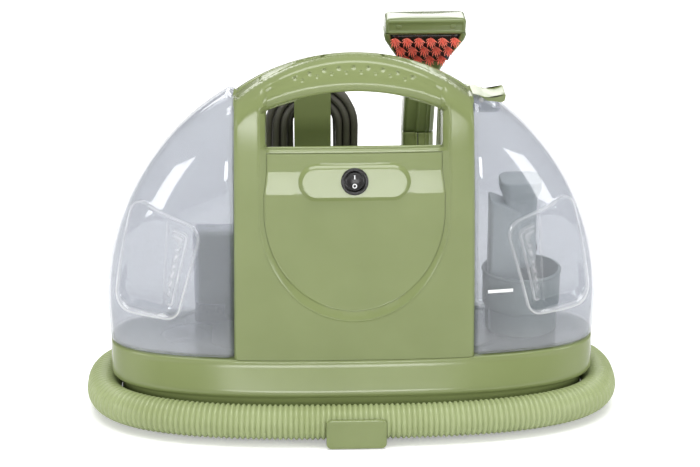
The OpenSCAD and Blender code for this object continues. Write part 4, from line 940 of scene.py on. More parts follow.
def addRearHousing():
    outer, window = bandLoop(), windowLoop(rear["sill"])
    slot = stadium(*rear["slotSize"], 1.0)
    slots = [slot + [rear["slotX"], rear["slotZ"] + rear["slotPitch"] * i] for i in range(rear["slots"])]
    inside = between(outer, window, *slots)
    extra = []
    for d in rearRows["arch"]:
        extra.append(arcRow(band["archRadius"] - d, archMiddle, 95 - d * 0.2, 130))
    for d in rearRows["side"]:
        z = np.arange(66, 262, 2.5)
        extra += bothSides(bandHalf(z) - d, z)
    for d in rearRows["window"]:
        extra.append(arcRow(band["windowRadius"] + d, windowMiddle, frontRows["windowReach"], 70))
    for d in rearRows["sill"]:
        extra += bothSides(band["windowHalf"] + d, np.arange(rear["sill"], 272, 2.2))
        extra.append(pairs(np.arange(-70, 70.1, 2.2), rear["sill"] - d))
    extra = [g[inside(g)] for g in extra]
    points, faces = triangulate([outer, window] + slots, [], 4.5, inside, extra)
    start = band["split"] + band["seam"]
    opening = onFace(window, rearY)
    rings = [opening]
    for share in (0.35, 0.7, 1.0):
        ring = opening.copy()
        ring[:, 1] = opening[:, 1] + (start - opening[:, 1]) * share
        low = rear["sill"] + (deckZ(start) - rear["sill"]) * share
        ring[:, 2] = window[:, 1] + windowDrop(window, rear["sill"]) * (low - rear["sill"])
        rings.append(ring)
    parts = [
        (onFace(points, rearY), [f[::-1] for f in faces]),
        strip([onFace(outer, rearY), standing(outer, start)], flip=True),
        strip(rings),
    ]
    for rim in [onFace(s, rearY) for s in slots]:
        parts.append(strip([rim, rim - [0, rear["slotDepth"], 0]]))
    finishShell("rearHousingShell", parts, band["smooth"], band["wall"], "rear_housing")


addRearHousing()


# base tray
base = dict(
    length=402, depth=128, flare=8.6, coveLength=192.8, coveDepth=71.8, steps=220, top=62.0, wall=2.4,
    holes=(((-140, 0), 23.4), ((125, 0), 16.4)), holeDepth=3,
)


def addBaseTray():
    t = (np.arange(base["steps"]) + 0.5) / base["steps"] * 2 * math.pi
    half, deep = base["length"] / 2, base["depth"] / 2
    profile = [
        (base["coveLength"] - 2.5, base["coveDepth"] - 2.5, 3.0),
        (base["coveLength"] - 0.7, base["coveDepth"] - 0.7, 3.6),
        (base["coveLength"], base["coveDepth"], 5.2),
        (base["coveLength"], base["coveDepth"], 22.0),
        (base["coveLength"] + 0.4, base["coveDepth"], 27.5),
        (base["coveLength"] + 2.2, base["coveDepth"] + 0.1, 31.0),
        (half - 2.4, deep + base["flare"] - 0.4, 32.9),
        (half - 0.6, deep + base["flare"] * 1.01, 33.4),
        (half + 0.2, deep + base["flare"] * 1.06, 34.6),
        (half + 0.4, deep + base["flare"] * 1.07, 36.2),
    ]
    for z in np.linspace(39, 56, 8):
        share = (z - 36) / 23
        profile.append((half + 0.4 - 0.4 * share, deep + base["flare"] * (1.08 - 1.03 * share), z))
    profile += [
        (half + 0.05, deep + 0.75, 58.2),
        (half + 0.1, deep + 0.5, 59.6),
        (half + 0.05, deep + 0.35, 60.6),
        (half - 0.35, deep - 0.1, 61.5),
        (half - 1.1, deep - 0.85, 61.95),
        (half - 2.4, deep - 2.2, 62.0),
    ]
    rings = [lying(np.column_stack(ringPoint(a, d, t)), z) for a, d, z in profile]
    top = rings[-1][:, :2]
    holes = [circle(centre, radius, 64) for centre, radius in base["holes"]]
    points, faces = triangulate([top] + holes, [], 14, between(top, *holes))
    parts = [strip(rings), (lying(points, base["top"]), faces)]
    for hole in holes:
        rim = lying(hole, base["top"])
        parts.append(strip([rim, rim - [0, 0, base["holeDepth"]]], flip=True))
    finishShell("baseTrayShell", parts, 35, base["wall"], "base_tray")


tower = dict(
    centre=(-113.5, 33.25), width=29, depth=21.5, corner=5,
    levels=((0, 59), (0, 133), (-0.4, 136.4), (-1.4, 138.2), (-2.8, 139), (-6, 139.1)),
)


def addTower():
    # housing for the pump's wiring, standing in the clean tank's recess
    rings = block(tower["centre"], tower["width"], tower["depth"], tower["corner"], 1.2, tower["levels"])
    dress(loft("wiringTower", rings), greenAbs, "base")


sleeve = dict(
    place=(-69.5, 54.4, 0), steps=8, first=65.2, pitch=2.25, radius=5.7, taper=0.2, groove=0.75,
    foot=((3.75, 62.1), (6.2, 62.1), (6.3, 62.6), (6.3, 64.6), (6.0, 65.0)),
    tip=((4.1, 83.4), (3.75, 83.9), (3.75, 62.1)),
)


def addStrainRelief():
    # flexible sleeve where the cord leaves the deck, stepped so that it bends evenly
    profile = list(sleeve["foot"])
    for step in range(sleeve["steps"]):
        z, r = sleeve["first"] + sleeve["pitch"] * step, sleeve["radius"] - sleeve["taper"] * step
        low = r - sleeve["groove"]
        profile += [(r, z), (r, z + 1.25), (low, z + 1.5), (low, z + 2.1)]
    profile += sleeve["tip"]
    dress(lathe("cordSleeve", profile, sleeve["place"]), cordPvc, "base", ["strain_relief"])


addBaseTray()
addTower()
addStrainRelief()


# clear tanks
tank = dict(bottom=62.3, wall=2.2, shoulder=7, foot=3.5, gap=0.5, levels=90, across=80, flatScale=150.0, filler=3.4)
# rings of painted highlight and denser haze on the wall: strength, distance inside the outline, width
creaseRings = ((0.5, 8, 1.0), (0.45, 13.5, 2.2))
grip = dict(x=160, z=143, turn=24, lean=5, depth=9, rim=0.9, crease=((-8.2, 43.0), (0.8, -32.3)))
gripDiscs = ((26, -32, 13), (-7, -37, 10), (17, 31, 13), (-19, 20, 13))
# rows of mesh points: shares in from the band, heights from the floor and the crown, growth of the grip's outline
tankRows = dict(
    side=(0.0008, 0.003, 0.008, 0.016, 0.028, 0.044, 0.064, 0.09),
    ends=(0.15, 0.5, 1.1, 1.9, 2.8, 3.6),
    grip=(3.2, 2.2, 1.1, 0, -0.5, -1.5, -2.5, -3.5, -4.5, -5.6, -7, -8.6, -10.4, -12.4, -14.6),
    crease=(-1.2, 0, 1.2),
)
gripOrigin = [grip["x"], -body["tankDepth"] * float(bow(grip["x"], body["halfLength"])), grip["z"]]
gripTurn = np.array(
    Matrix.Rotation(math.radians(grip["turn"]), 3, "Z") @ Matrix.Rotation(math.radians(grip["lean"]), 3, "X")
)


def tankCrown():
    inner = float(bandHalf(260)) + tank["gap"] + 5
    return body["widest"] + body["domeRise"] * math.sqrt(1 - (inner / body["halfLength"]) ** 2)


def tankPoint(u, z):
    # u runs from -1 at the front corner to 1 at the rear corner; returns points on the right tank
    a = halfLength(z)
    d = dome(z, body["tankDepth"], body["tankRise"])
    inner = bandHalf(z) + tank["gap"]
    reach = np.arccos(np.clip(inner / a, 0, 1) ** (body["squareness"] / 2))
    t = reach * u
    x, y = ringPoint(a, d, t)
    return np.column_stack([x, y, z]), x - inner


def tankNormal(u, z):
    across = tankPoint(u + 1e-3, z)[0] - tankPoint(u - 1e-3, z)[0]
    n = np.cross(across, tankPoint(u, z + 0.1)[0] - tankPoint(u, z - 0.1)[0])
    n /= np.maximum(np.linalg.norm(n, axis=1), 1e-9)[:, None]
    return n


def gripFrame(points):
    return (points - gripOrigin) @ gripTurn


def hullOfDiscs(grow=0.0, step=1.5):
    cloud = np.vstack([circle((cx, cz), r + grow, 96) for cx, cz, r in gripDiscs])
    cloud = cloud[np.lexsort((cloud[:, 1], cloud[:, 0]))]

    def half(points):
        hull = []
        for p in points:
            while len(hull) > 1 and np.cross(hull[-1] - hull[-2], p - hull[-1]) <= 1e-9:
                hull.pop()
            hull.append(p)
        return hull[:-1]

    return along(np.array(half(cloud) + half(cloud[::-1])), step, closed=True)


def outlineSide(x, z, loop):
    # signed distance to a convex loop that runs anticlockwise, positive outside
    best = np.full(len(x), 1e9)
    inside = np.ones(len(x), bool)
    for (x0, z0), (x1, z1) in zip(loop, np.roll(loop, -1, axis=0)):
        dx, dz = x1 - x0, z1 - z0
        share = np.clip(((x - x0) * dx + (z - z0) * dz) / (dx * dx + dz * dz), 0, 1)
        best = np.minimum(best, np.hypot(x - x0 - share * dx, z - z0 - share * dz))
        inside &= (dx * (z - z0) - dz * (x - x0)) >= 0
    return np.where(inside, -best, best)


gripLoop = hullOfDiscs()


def pastCrease(x, z):
    # distance from the crease towards the band
    (x0, z0), (x1, z1) = grip["crease"]
    return ((x - x0) * (z1 - z0) - (z - z0) * (x1 - x0)) / math.hypot(x1 - x0, z1 - z0)


def tankSurface(u, z):
    points, fromBand = tankPoint(u, z)
    normal = tankNormal(u, z)
    pull = roundOver(fromBand, tank["shoulder"])
    pull = np.maximum(pull, roundOver(z - tank["bottom"], tank["foot"]))
    points = points - normal * pull[:, None]
    local = gripFrame(points)
    side = outlineSide(local[:, 0], local[:, 2], gripLoop)
    near = (local[:, 1] < 60) & (points[:, 1] < 0)
    q = np.maximum(0, -side)
    # a flat floor next to the rim outside, a sloping wall up to the band inside
    slope = q / np.maximum(q + np.maximum(0, pastCrease(local[:, 0], local[:, 2])), 1e-6)
    share = 0.2 * ramp(q, 0, 1.5) + 0.8 * slope * smoothRamp(q, 0.8, 5)
    sunk = local[:, 1] + np.maximum(0, grip["depth"] - local[:, 1]) * share
    lip = grip["rim"] * np.sin(np.pi * np.clip(side / 2.2, 0, 1))
    local[:, 1] = np.where(near, np.where(side < 0, sunk, local[:, 1] - lip), local[:, 1])
    return local @ gripTurn.T + gripOrigin


def gripPlace(u, z):
    return gripFrame(tankPoint(u, z)[0])[:, [0, 2]]


def onTank(x, z):
    # finds u and z on the tank for points in the grip's own plane, by Newton's method
    u = np.full(len(x), -0.35)
    level = np.full(len(x), 143.0)
    du, dz = 1e-4, 0.01
    for _ in range(30):
        here = gripPlace(u, level)
        fx, fz = here[:, 0] - x, here[:, 1] - z
        a, c = ((gripPlace(u + du, level) - here) / du).T
        b, d = ((gripPlace(u, level + dz) - here) / dz).T
        det = a * d - b * c
        det = np.where(np.abs(det) < 1e-9, 1e-9, det)
        u = np.clip(u - np.clip((d * fx - b * fz) / det, -0.08, 0.08), -0.999, 0.6)
        level = np.clip(level - np.clip((a * fz - c * fx) / det, -8, 8), 64, 250)
    return u, level


def markCreaseMilkAndHighlight(obj, side):
    points = np.empty(len(obj.data.vertices) * 3)
    obj.data.vertices.foreach_get("co", points)
    points = points.reshape(-1, 3) / mm * [side, 1, 1]
    local = gripFrame(points)
    away = outlineSide(local[:, 0], local[:, 2], gripLoop)
    past, q = pastCrease(local[:, 0], local[:, 2]), np.maximum(0, -away)
    ahead = (local[:, 1] < 45) & (points[:, 1] < 0)
    # whiter, denser haze along the grip's rim, its fold, two rings inside the outline and the bottom edge: thicker
    # plastic there plus painted highlight; the wall also turns milkier towards the bottom
    marks = [
        (0.42 + 0.3 * smoothRamp(-local[:, 2], -10, 40)) * bell(away, 0.8, 1.0) * ahead,
        0.3 * bell(past, 0, 0.8) * (q > 2) * ahead,
        *[power * bell(q, depth, width) * smoothRamp(past, 3, 7) * ahead for power, depth, width in creaseRings],
        0.35 * bell(points[:, 2] - tank["bottom"], 1, 1.3),
        0.16 * (1 - smoothRamp(points[:, 2], 70, 96)),
    ]
    mark = obj.data.attributes.new("crease", "FLOAT", "POINT")
    mark.data.foreach_set("value", np.max(marks, axis=0))


# room for the wiring tower, and the pocket in which the latch turns
tankRooms = dict(clean=((-130, 21.4, 50), (-85, 45.1, 141)), dirty=((85, -14.2, 259), (118.5, 14.2, 300)))


def cutBox(obj, low, high):
    corners = [(x, y, z) for z in (low[2], high[2]) for y in (low[1], high[1]) for x in (low[0], high[0])]
    sides = [(0, 2, 3, 1), (4, 5, 7, 6), (0, 1, 5, 4), (2, 6, 7, 3), (0, 4, 6, 2), (1, 3, 7, 5)]
    tool = makeObject("roomCutter", corners, sides)
    edges = tool.modifiers.new("roundEdges", "BEVEL")
    edges.width, edges.segments = 2.5 * mm, 4
    applyModifiers(tool)
    cut = obj.modifiers.new("room", "BOOLEAN")
    cut.operation, cut.solver, cut.object = "DIFFERENCE", "EXACT", tool
    applyModifiers(obj)
    bpy.data.objects.remove(tool)
    obj.data.shade_smooth()
    obj.data.set_sharp_from_angle(angle=math.radians(40))


def flat(u, z):
    # u is stretched so that the flat mesh has even triangles
    return pairs(u * tank["flatScale"], z)


def skinAt(u, z):
    return tankSurface(*np.broadcast_arrays(u, z))


def addTank(name, side, bodyName, nodeName):
    floor, crown = tank["bottom"], tankCrown() - 0.02
    levels = floor + (crown - floor) * np.sin(np.linspace(0, math.pi / 2, tank["levels"]))
    across = np.linspace(-1.0, 1.0, tank["across"])[1:-1]
    sides = [flat(-1.0, levels), flat(across, crown), flat(1.0, levels)[::-1], flat(across, floor)[::-1]]
    loop = np.vstack(sides)[::-1]
    low, high = loop.min(axis=0) + 1e-6, loop.max(axis=0) - 1e-6

    def inside(p):
        return np.all((p > low) & (p < high), axis=1)

    extra = []
    for du in tankRows["side"]:
        extra += [flat(sign * (1 - du), levels[1:-1]) for sign in (-1, 1)]
    for dz in tankRows["ends"]:
        extra += [flat(across, floor + dz), flat(across, crown - dz * 0.5)]
    for grow in tankRows["grip"]:
        ring = hullOfDiscs(grow, 1.5)
        u, z = onTank(ring[:, 0], ring[:, 1])
        good = (np.abs(u) < 0.95) & (z > 66) & (z < 245)
        extra.append(flat(u[good], z[good]))
    (x0, z0), (x1, z1) = grip["crease"]
    t = np.linspace(0.02, 0.98, 44)
    for off in tankRows["crease"]:
        extra.append(flat(*onTank(x0 + (x1 - x0) * t - off, z0 + (z1 - z0) * t)))
    points, faces = triangulate([loop], [], tank["filler"], inside, extra)
    # flat wall beside the band, top sliver and floor close the shell
    fore, aft = skinAt(-1.0, levels), skinAt(1.0, levels)
    columns = [fore + (aft - fore) * s for s in np.linspace(0, 1, 9)]
    parts = [(tankSurface(points[:, 0] / tank["flatScale"], points[:, 1]), faces), strip(columns, closed=False)]
    for level, end in ((floor, 0), (crown, -1)):
        ring = skinAt(np.linspace(-1.0, 1.0, tank["across"]), level)
        seam, hub = [c[end] for c in columns], len(ring)
        fan = [(i, i + 1, hub) for i in range(hub - 1)]
        fan += [(hub + 1 + i, hub + 2 + i, hub) for i in range(len(seam) - 1)]
        parts.append((np.vstack([ring, [ring.mean(axis=0)], seam]), fan))
    points, faces = joinParts(parts)
    obj = facesOutward(makeObject(name, points * [side, 1, 1], faces, smoothAngle=40, weld=0.05))
    cutBox(obj, *tankRooms[bodyName])
    thicken(obj, tank["wall"])
    markCreaseMilkAndHighlight(obj, side)
    dress(obj, clearPetg, bodyName, [nodeName])
    print(name, len(obj.data.polygons), "faces")


neckProfile = [
    (14.2, 51.2), (16.4, 51.0), (16.9, 51.6), (16.9, 53), (16.5, 53.6), (16.5, 55), (16.9, 55.6), (16.9, 57),
    (16.5, 57.6), (16.5, 62.2), (14.0, 62.2), (14.2, 51.2),
]
# the threaded neck that the cap screws on
dress(lathe("cleanTankNeck", neckProfile, (-140, 0, 0)), clearPetg, "clean")

addTank("cleanTankShell", -1, "clean", "clean_tank")
addTank("dirtyTankShell", 1, "dirty", "dirty_tank")


# fill mark and the parts inside the dirty tank
fillMark = dict(left=108.6, right=129.4, low=116.6, high=119.4, proud=0.35, ink=0.3)
cup = dict(
    place=(141.5, 0, 0),
    profile=(
        (0, 64.8), (29.0, 64.8), (29.6, 65.6), (29.9, 84), (30.2, 84.9), (31.6, 86.4), (32.0, 87.4), (32.3, 114.6),
        (33.0, 115.2), (33.3, 116.2), (32.9, 117.2), (32.0, 117.7), (30.9, 117.4), (30.4, 116.4), (30.0, 88),
        (27.6, 85), (27.4, 67.4), (0, 67.2),
    ),
)
duct = dict(
    centre=(126.5, -1.5), side=26, corner=4, slope=0.42, left=113.5, upright=3,
    levels=((0, 67.4), (0, 120), (0, 150), (0, 180), (-0.6, 181.0), (-2.0, 181.6)),
)
chamber = dict(
    centre=(139, 1), side=27, corner=6,
    levels=(
        (-7, 118.5), (-4, 119.5), (-0.5, 124), (0, 128), (0, 180), (0.2, 181), (3.2, 186.6), (3.6, 188),
        (3.6, 194.2), (2.8, 195.4), (-6, 196.2),
    ),
)


def addFillMark():
    x = np.linspace(fillMark["left"], fillMark["right"], 12)
    rows = []
    for z in np.linspace(fillMark["low"], fillMark["high"], 4):
        z = np.full(len(x), z)
        depth = dome(z, body["tankDepth"], body["tankRise"])
        share = np.maximum(0, 1 - (x / halfLength(z)) ** body["squareness"]) ** (1 / body["squareness"])
        rows.append(np.column_stack([x, -depth * share - fillMark["proud"], z]))
    obj = thicken(makeObject("fillMark", *strip(rows, closed=False)), fillMark["ink"])
    dress(obj, whiteInk, "dirty")


def addRiser():
    # front duct with a sloping top, and the capped chamber that stands behind it
    rings = block(duct["centre"], duct["side"], duct["side"], duct["corner"], 1, duct["levels"])
    for ring in rings[duct["upright"] :]:
        ring[:, 2] -= (ring[:, 0] - duct["left"]) * duct["slope"]
    dress(loft("riserFront", rings), riserGreyLitCopy, "dirty", ["riser_duct"])
    rings = block(chamber["centre"], chamber["side"], chamber["side"], chamber["corner"], 1.5, chamber["levels"])
    dress(loft("riserChamber", rings), riserGreyLitCopy, "dirty")


whiteInk = mouldedPlastic("whiteScreenInk", "#F4F5F5", "#ECEDEE", roughness=0.5)
addFillMark()
dress(lathe("separatorCup", cup["profile"], cup["place"]), greyClear, "dirty", ["separator_cup"])
addRiser()


# power switch
switch = dict(
    centre=(0, -60.2, 215.25),
    tilt=14,
    bezel=(
        (8.25, -1.6), (11, -1.6), (11, 0.2), (10.8, 0.8), (10.2, 1.3), (9.5, 1.45), (8.8, 1.2), (8.3, 0.5),
        (8.25, -1.6),
    ),
    rocker=(
        (0, -4.5), (7.3, -4.5), (7.4, -0.4), (7.2, 0.5), (6.7, 0.8), (6.1, 0.6), (4.5, 0.05), (2.5, -0.3),
        (0, -0.4),
    ),
    onMark=((-0.45, 1.9), (0.45, 1.9), (0.45, 5.1), (-0.45, 5.1)),
    offMark=((1.15, -0.6), (1.85, -0.6), (1.85, 0.5), (1.15, 0.5), (1.15, -0.6)),
    offDrop=3.6,
)


def addSwitch():
    tilt = math.radians(switch["tilt"])
    axis = Vector((0, -math.cos(tilt), math.sin(tilt)))
    middle, right = Vector(switch["centre"]), Vector((1, 0, 0))
    up = right.cross(axis).normalized()
    if up.z < 0:
        up = -up
    bezel = lathe("switchBezel", switch["bezel"], middle, axis)
    dress(bezel, blackAbs, "base", ["switch_bezel"])
    rocker = lathe("switchRocker", switch["rocker"], middle, axis)
    dress(rocker, blackAbs, "rocker", ["switch_rocker"])
    corners = [tuple(middle + right * x + up * z + axis * h) for h in (-0.5, 0.62) for x, z in switch["onMark"]]
    sides = [(0, 1, 2, 3), (7, 6, 5, 4), (0, 4, 5, 1), (1, 5, 6, 2), (2, 6, 7, 3), (3, 7, 4, 0)]
    dress(facesOutward(makeObject("switchOnMark", corners, sides)), whiteInk, "rocker")
    ring = lathe("switchOffMark", switch["offMark"], middle - up * switch["offDrop"], axis, 32)
    dress(ring, whiteInk, "rocker")


addSwitch()


# hose clips
hoseClip = dict(
    face=104.3, width=49, height=25.4, corner=4.2, middle=13.3, crown=0.7,
    tongueWidth=34, tongueLength=43, tongueY=81.4,
    plate=((1.2, 1.9), (0.3, 2.4), (0, 2.0), (0, 1.0), (0.35, 0.35), (1.3, 0.0), (3.4, -0.05)),
    tongue=((0.8, 0.6), (0, 1.2), (0, 2.5), (0.8, 3.1)),
)


def addHoseClip(name, centre, outward):
    c, plate, tongue = hoseClip, [], []
    for inset, depth in c["plate"]:
        ring = softRect(c["width"] - 2 * inset, c["height"] - 2 * inset, c["corner"] - min(inset, 3), 8)
        crown = c["crown"] * (1 - (ring[:, 0] / (c["width"] / 2)) ** 2)
        y = -(c["face"] - depth - c["crown"]) - crown * (depth < 1.5)
        plate.append(np.column_stack([ring[:, 0] + centre, y, ring[:, 1] + c["middle"]]))
    for inset, z in c["tongue"]:
        ring = softRect(c["tongueWidth"] - 2 * inset, c["tongueLength"] - 2 * inset, 3, 6)
        tongue.append(lying(ring + [centre, -c["tongueY"]], z))
    parts = []
    for rings, ending in ((plate, "Plate"), (tongue, "Tongue")):
        piece = loft(name + ending, rings)
        points = np.array([v.co[:] for v in piece.data.vertices]) / mm
        parts.append((points, [tuple(p.vertices) for p in piece.data.polygons]))
        bpy.data.objects.remove(piece)
    points, faces = joinParts(parts)
    return facesOutward(makeObject(name, points * [1, outward, 1], faces, weld=0))


for clipName, clipCentre, outward in (("hoseClipFront", 0, 1), ("hoseClipRear", -84, -1)):
    clip = addHoseClip(clipName, clipCentre, outward)
    dress(clip, greenAbs, "base", ["hose_clips"] if outward > 0 else ())


# tank latch
latch = dict(
    upper=(
        (88.8, 272.6), (92, 273.4), (96, 273.2), (101, 272.0), (107, 270.2), (112, 269.4), (117, 269.6), (121, 270.6),
        (124.2, 272.2),
    ),
    lower=(
        (124.4, 270.6), (123.6, 266.2), (121.5, 265.2), (117, 265.9), (112, 266.4), (106, 266.2), (101, 267.6),
        (96, 269.8), (91, 270.6), (88.7, 270.9),
    ),
    half=13, edge=((-13, 1.1), (-12.7, 0.4), (-12.1, 0)), inner=(-8, -4, 0, 4, 8), scoop=0.8,
)


def addLatch():
    profile = along(np.array(latch["upper"] + latch["lower"]), 1.2, closed=True)
    away = profile - profile.mean(axis=0)
    length = np.linalg.norm(away, axis=1)[:, None]
    levels = [*latch["edge"], *[(y, 0) for y in latch["inner"]], *[(-y, inset) for y, inset in latch["edge"][::-1]]]
    rings = []
    for y, inset in levels:
        ring = profile - away / length * inset * np.array([1, 0.45])
        scoop = latch["scoop"] * (1 - (y / latch["half"]) ** 2) * smoothRamp(profile[:, 0], 104, 116)
        ring[:, 1] -= scoop * (ring[:, 1] > 268)
        rings.append(standing(ring, y))
    dress(facesOutward(loft("tankLatch", rings)), greenAbs, "latch", ["tank_latch"])


addLatch()


# spray wand and its tool
wand = dict(
    x=60, y=82, width=26.5, corner=5, joint=214, lean=0.055, shift=-1.6,
    strip=(-12, -11.2, -2.9, -1.9), stripDepth=2.2, ridges=(6.2, 9.4), ridge=-0.9, ridgeWidth=0.55,
    rib=(-0.6, -0.9, 0.8), ridgeEnd=(252, 262), hood=(-2.4, 1.5, 9), hoodAt=(203, 5),
)


def wandLean(points):
    # the head stands a little to the right of the grip
    points = np.array(points, float)
    points[:, 0] += wand["shift"] + np.maximum(0, points[:, 2] - wand["joint"]) * wand["lean"]
    return points


def wandFront(x, z):
    # how far the front face stands back: a sunk strip on the left, a rib and two fine ridges
    x0, x1, x2, x3 = wand["strip"]
    sunk = wand["stripDepth"] * smoothRamp(x, x0, x1) * (1 - smoothRamp(x, x2, x3))
    left, right = [wand["ridge"] * bell(x, place, wand["ridgeWidth"]) for place in wand["ridges"]]
    rib = wand["rib"][0] * bell(x, *wand["rib"][1:])
    fade = 1 - smoothRamp(z, *wand["ridgeEnd"])
    height, middle, half = wand["hood"]
    hood = height * np.maximum(0, 1 - ((x - middle) / half) ** 2) * bell(z, *wand["hoodAt"])
    return (sunk + (left + right) + rib) * fade + hood


def wandRing(z, width, front_, rear_, radius, inset=0.0, low=-1.0, high=1.0):
    # outline of the wand between two shares of its half width, anticlockwise from above
    half = width / 2 - inset
    x = np.unique(np.r_[np.linspace(-1, 1, 61), np.sin(np.linspace(-math.pi / 2, math.pi / 2, 41))]) * half
    x = x[(x > low * half - 1e-6) & (x < high * half + 1e-6)]
    edge = roundOver(half - np.abs(x), radius)
    ahead = wand["y"] + front_ + inset + edge + wandFront(x, z) * (np.abs(x) < half - 0.8)
    behind = wand["y"] + rear_ - inset - edge
    outline = np.vstack([np.column_stack([x, ahead]), np.column_stack([x[::-1], behind[::-1]])])
    return lying(outline + [wand["x"], 0], z)


def at(heights):
    # levels without an inset
    return [(z, 0) for z in heights]


def addWandLoft(name, rings, smoothAngle=32):
    return facesOutward(loft(name, [wandLean(ring) for ring in rings], smoothAngle))


def addWandShells():
    levels = [(108, 0.8), (108.8, 0), *at(np.linspace(112, 192, 12)), *at(np.linspace(194, 212.6, 14))]
    levels += [(213.4, 0.3), (213.9, 1.0)]
    halves = (("wandShellLeft", -1, -0.012, "wand_shell_left"), ("wandShellRight", 0.012, 1, "wand_shell_right"))
    for name, low, high, node in halves:
        rings = [wandRing(z, wand["width"], -15, 15, wand["corner"], inset, low, high) for z, inset in levels]
        dress(addWandLoft(name, rings, 30), wandGreenLitCopy, "wand", [node])


# height above the joint, share of the full width, front and rear of the tool
toolLevels = (
    (0.3, 0, -15, 15), (43.2, 0, -15, 15), (54, 0.09, -16.5, 12.5), (63, 0.28, -18.5, 9.5), (73.8, 0.66, -21, 6.5),
    (82.8, 0.94, -23.5, 4), (87.3, 1, -24.6, 3), (90, 1, -25.2, 2.4),
)
tool = dict(
    widening=42, plateTop=302, plateLow=278.2, plateHalf=28.9, plateBack=1.4, rows=14, columns=9,
    fieldHalf=29.2, fieldLow=277.6, fieldTop=302.6, fieldDepth=2.6, narrowing=8, narrowOver=24,
)
lip = dict(
    width=67, ahead=-25.2, behind=2.4, corner=3.2, tabX=22.5, tabZ=309.4,
    mouthHalf=31, mouthLow=305.2, mouthTop=313.0, mouthDepth=0.8,
    levels=(
        (304.0, 0.2), *at((304.5, 305.4, 306, 308, 310, 312)), (313.4, 0.15), (314.5, 0.6), (315.4, 1.5), (316, 3.0),
    ),
    tab=((0, 58.4), (0, 57.5), (0.35, 57.2), (0.8, 57.15)),
)


def toolAt(z):
    rises = [level[0] for level in toolLevels]
    return [float(np.interp(z - wand["joint"], rises, [level[k] for level in toolLevels])) for k in (1, 2, 3)]


def narrowing(z, widest):
    # half width of the field and its plate, which narrow towards the grip
    return widest - tool["narrowing"] * (tool["plateTop"] - z) / tool["narrowOver"]


def fieldDepth(x, z):
    inside = np.minimum(narrowing(z, tool["fieldHalf"]) - np.abs(x), min(z - tool["fieldLow"], tool["fieldTop"] - z))
    return tool["fieldDepth"] * smoothRamp(inside, -0.6, 0.3)


def mouthDepth(x, z):
    inside = np.minimum(lip["mouthHalf"] - np.abs(x), min(z - lip["mouthLow"], lip["mouthTop"] - z))
    return lip["mouthDepth"] * smoothRamp(inside, -0.5, 0.4)


def setBack(ring, depthAt, z):
    # only the front half of the ring
    half = len(ring) // 2
    ring[:half, 1] += depthAt(ring[:half, 0] - wand["x"], z)
    return ring


def addTool():
    levels = [(214.3, 1.0), (214.8, 0.3), (215.6, 0), *at(np.linspace(219, 262, 16)), *at(np.linspace(265, 276, 7))]
    rings = []
    for z, inset in levels + at(np.arange(276.6, 304.1, 0.6)):
        share, ahead, behind = toolAt(z)
        ring = wandRing(z, wand["width"] + tool["widening"] * share, ahead, behind, wand["corner"] - 2 * share, inset)
        rings.append(setBack(ring, fieldDepth, z))
    dress(addWandLoft("toolBody", rings, 35), oliveAbs, "tool", ["tool_body"])

    # the black plate that holds the bristles
    rows = []
    for z in np.linspace(tool["plateLow"], tool["plateTop"], tool["rows"]):
        x = wand["x"] + np.linspace(-1, 1, tool["columns"]) * narrowing(z, tool["plateHalf"])
        rows.append(standing(pairs(x, z), wand["y"] + toolAt(z)[1] + tool["plateBack"]))
    points, faces = strip(rows, closed=False)
    plate = thicken(makeObject("brushPlate", wandLean(points), faces), 1.4)
    dress(plate, blackAbs, "tool", ["brush_plate"])


def addSuctionLip():
    # wide flat nozzle with a rolled front edge and two small moulded tabs
    rings = []
    for z, inset in lip["levels"]:
        ring = wandRing(z, lip["width"], lip["ahead"], lip["behind"], lip["corner"], inset)
        rings.append(setBack(ring, mouthDepth, z))
    dress(addWandLoft("suctionLip", rings, 35), oliveAbs, "tool", ["suction_lip"])
    for name, x in (("lipTabLeft", -lip["tabX"]), ("lipTabRight", lip["tabX"])):
        rings = []
        for inset, y in lip["tab"]:
            outline = softRect(4.6 - 2 * inset, 3.4 - 2 * inset, 0.8)
            rings.append(standing(outline + [wand["x"] + x, lip["tabZ"]], y))
        dress(addWandLoft(name, rings), oliveAbs, "tool")


def startGroup(name, source, floats, counts, result):
    # a node group whose settings can be changed on the modifier
    tree = bpy.data.node_groups.new(name, "GeometryNodeTree")
    sockets = [(source, "INPUT", "Geometry", None)]
    sockets += [(label, "INPUT", "Float", value) for label, value in floats.items()]
    sockets += [(label, "INPUT", "Int", value) for label, value in counts.items()]
    sockets += [("Finish", "INPUT", "Material", None), (result, "OUTPUT", "Geometry", None)]
    for label, way, kind, value in sockets:
        socket = tree.interface.new_socket(label, in_out=way, socket_type="NodeSocket" + kind)
        if value is not None:
            socket.default_value = value
    return tree, addNode(tree, "NodeGroupInput").outputs


def endGroup(tree, geometry, finish, result):
    real = addNode(tree, "GeometryNodeRealizeInstances", {"Geometry": geometry}).outputs["Geometry"]
    painted = addNode(tree, "GeometryNodeSetMaterial", {"Geometry": real, "Material": finish})
    addNode(tree, "NodeGroupOutput", {result: painted.outputs["Geometry"]})
    return tree


tuft = dict(rows=(6, 5, 4), pitch=9.9, top=297.8, drop=8.4, back=1.2, tilt=102)
bristle = dict(Spread=3.1 * mm, Length=7.2 * mm, Thickness=0.34 * mm, Splay=0.5)


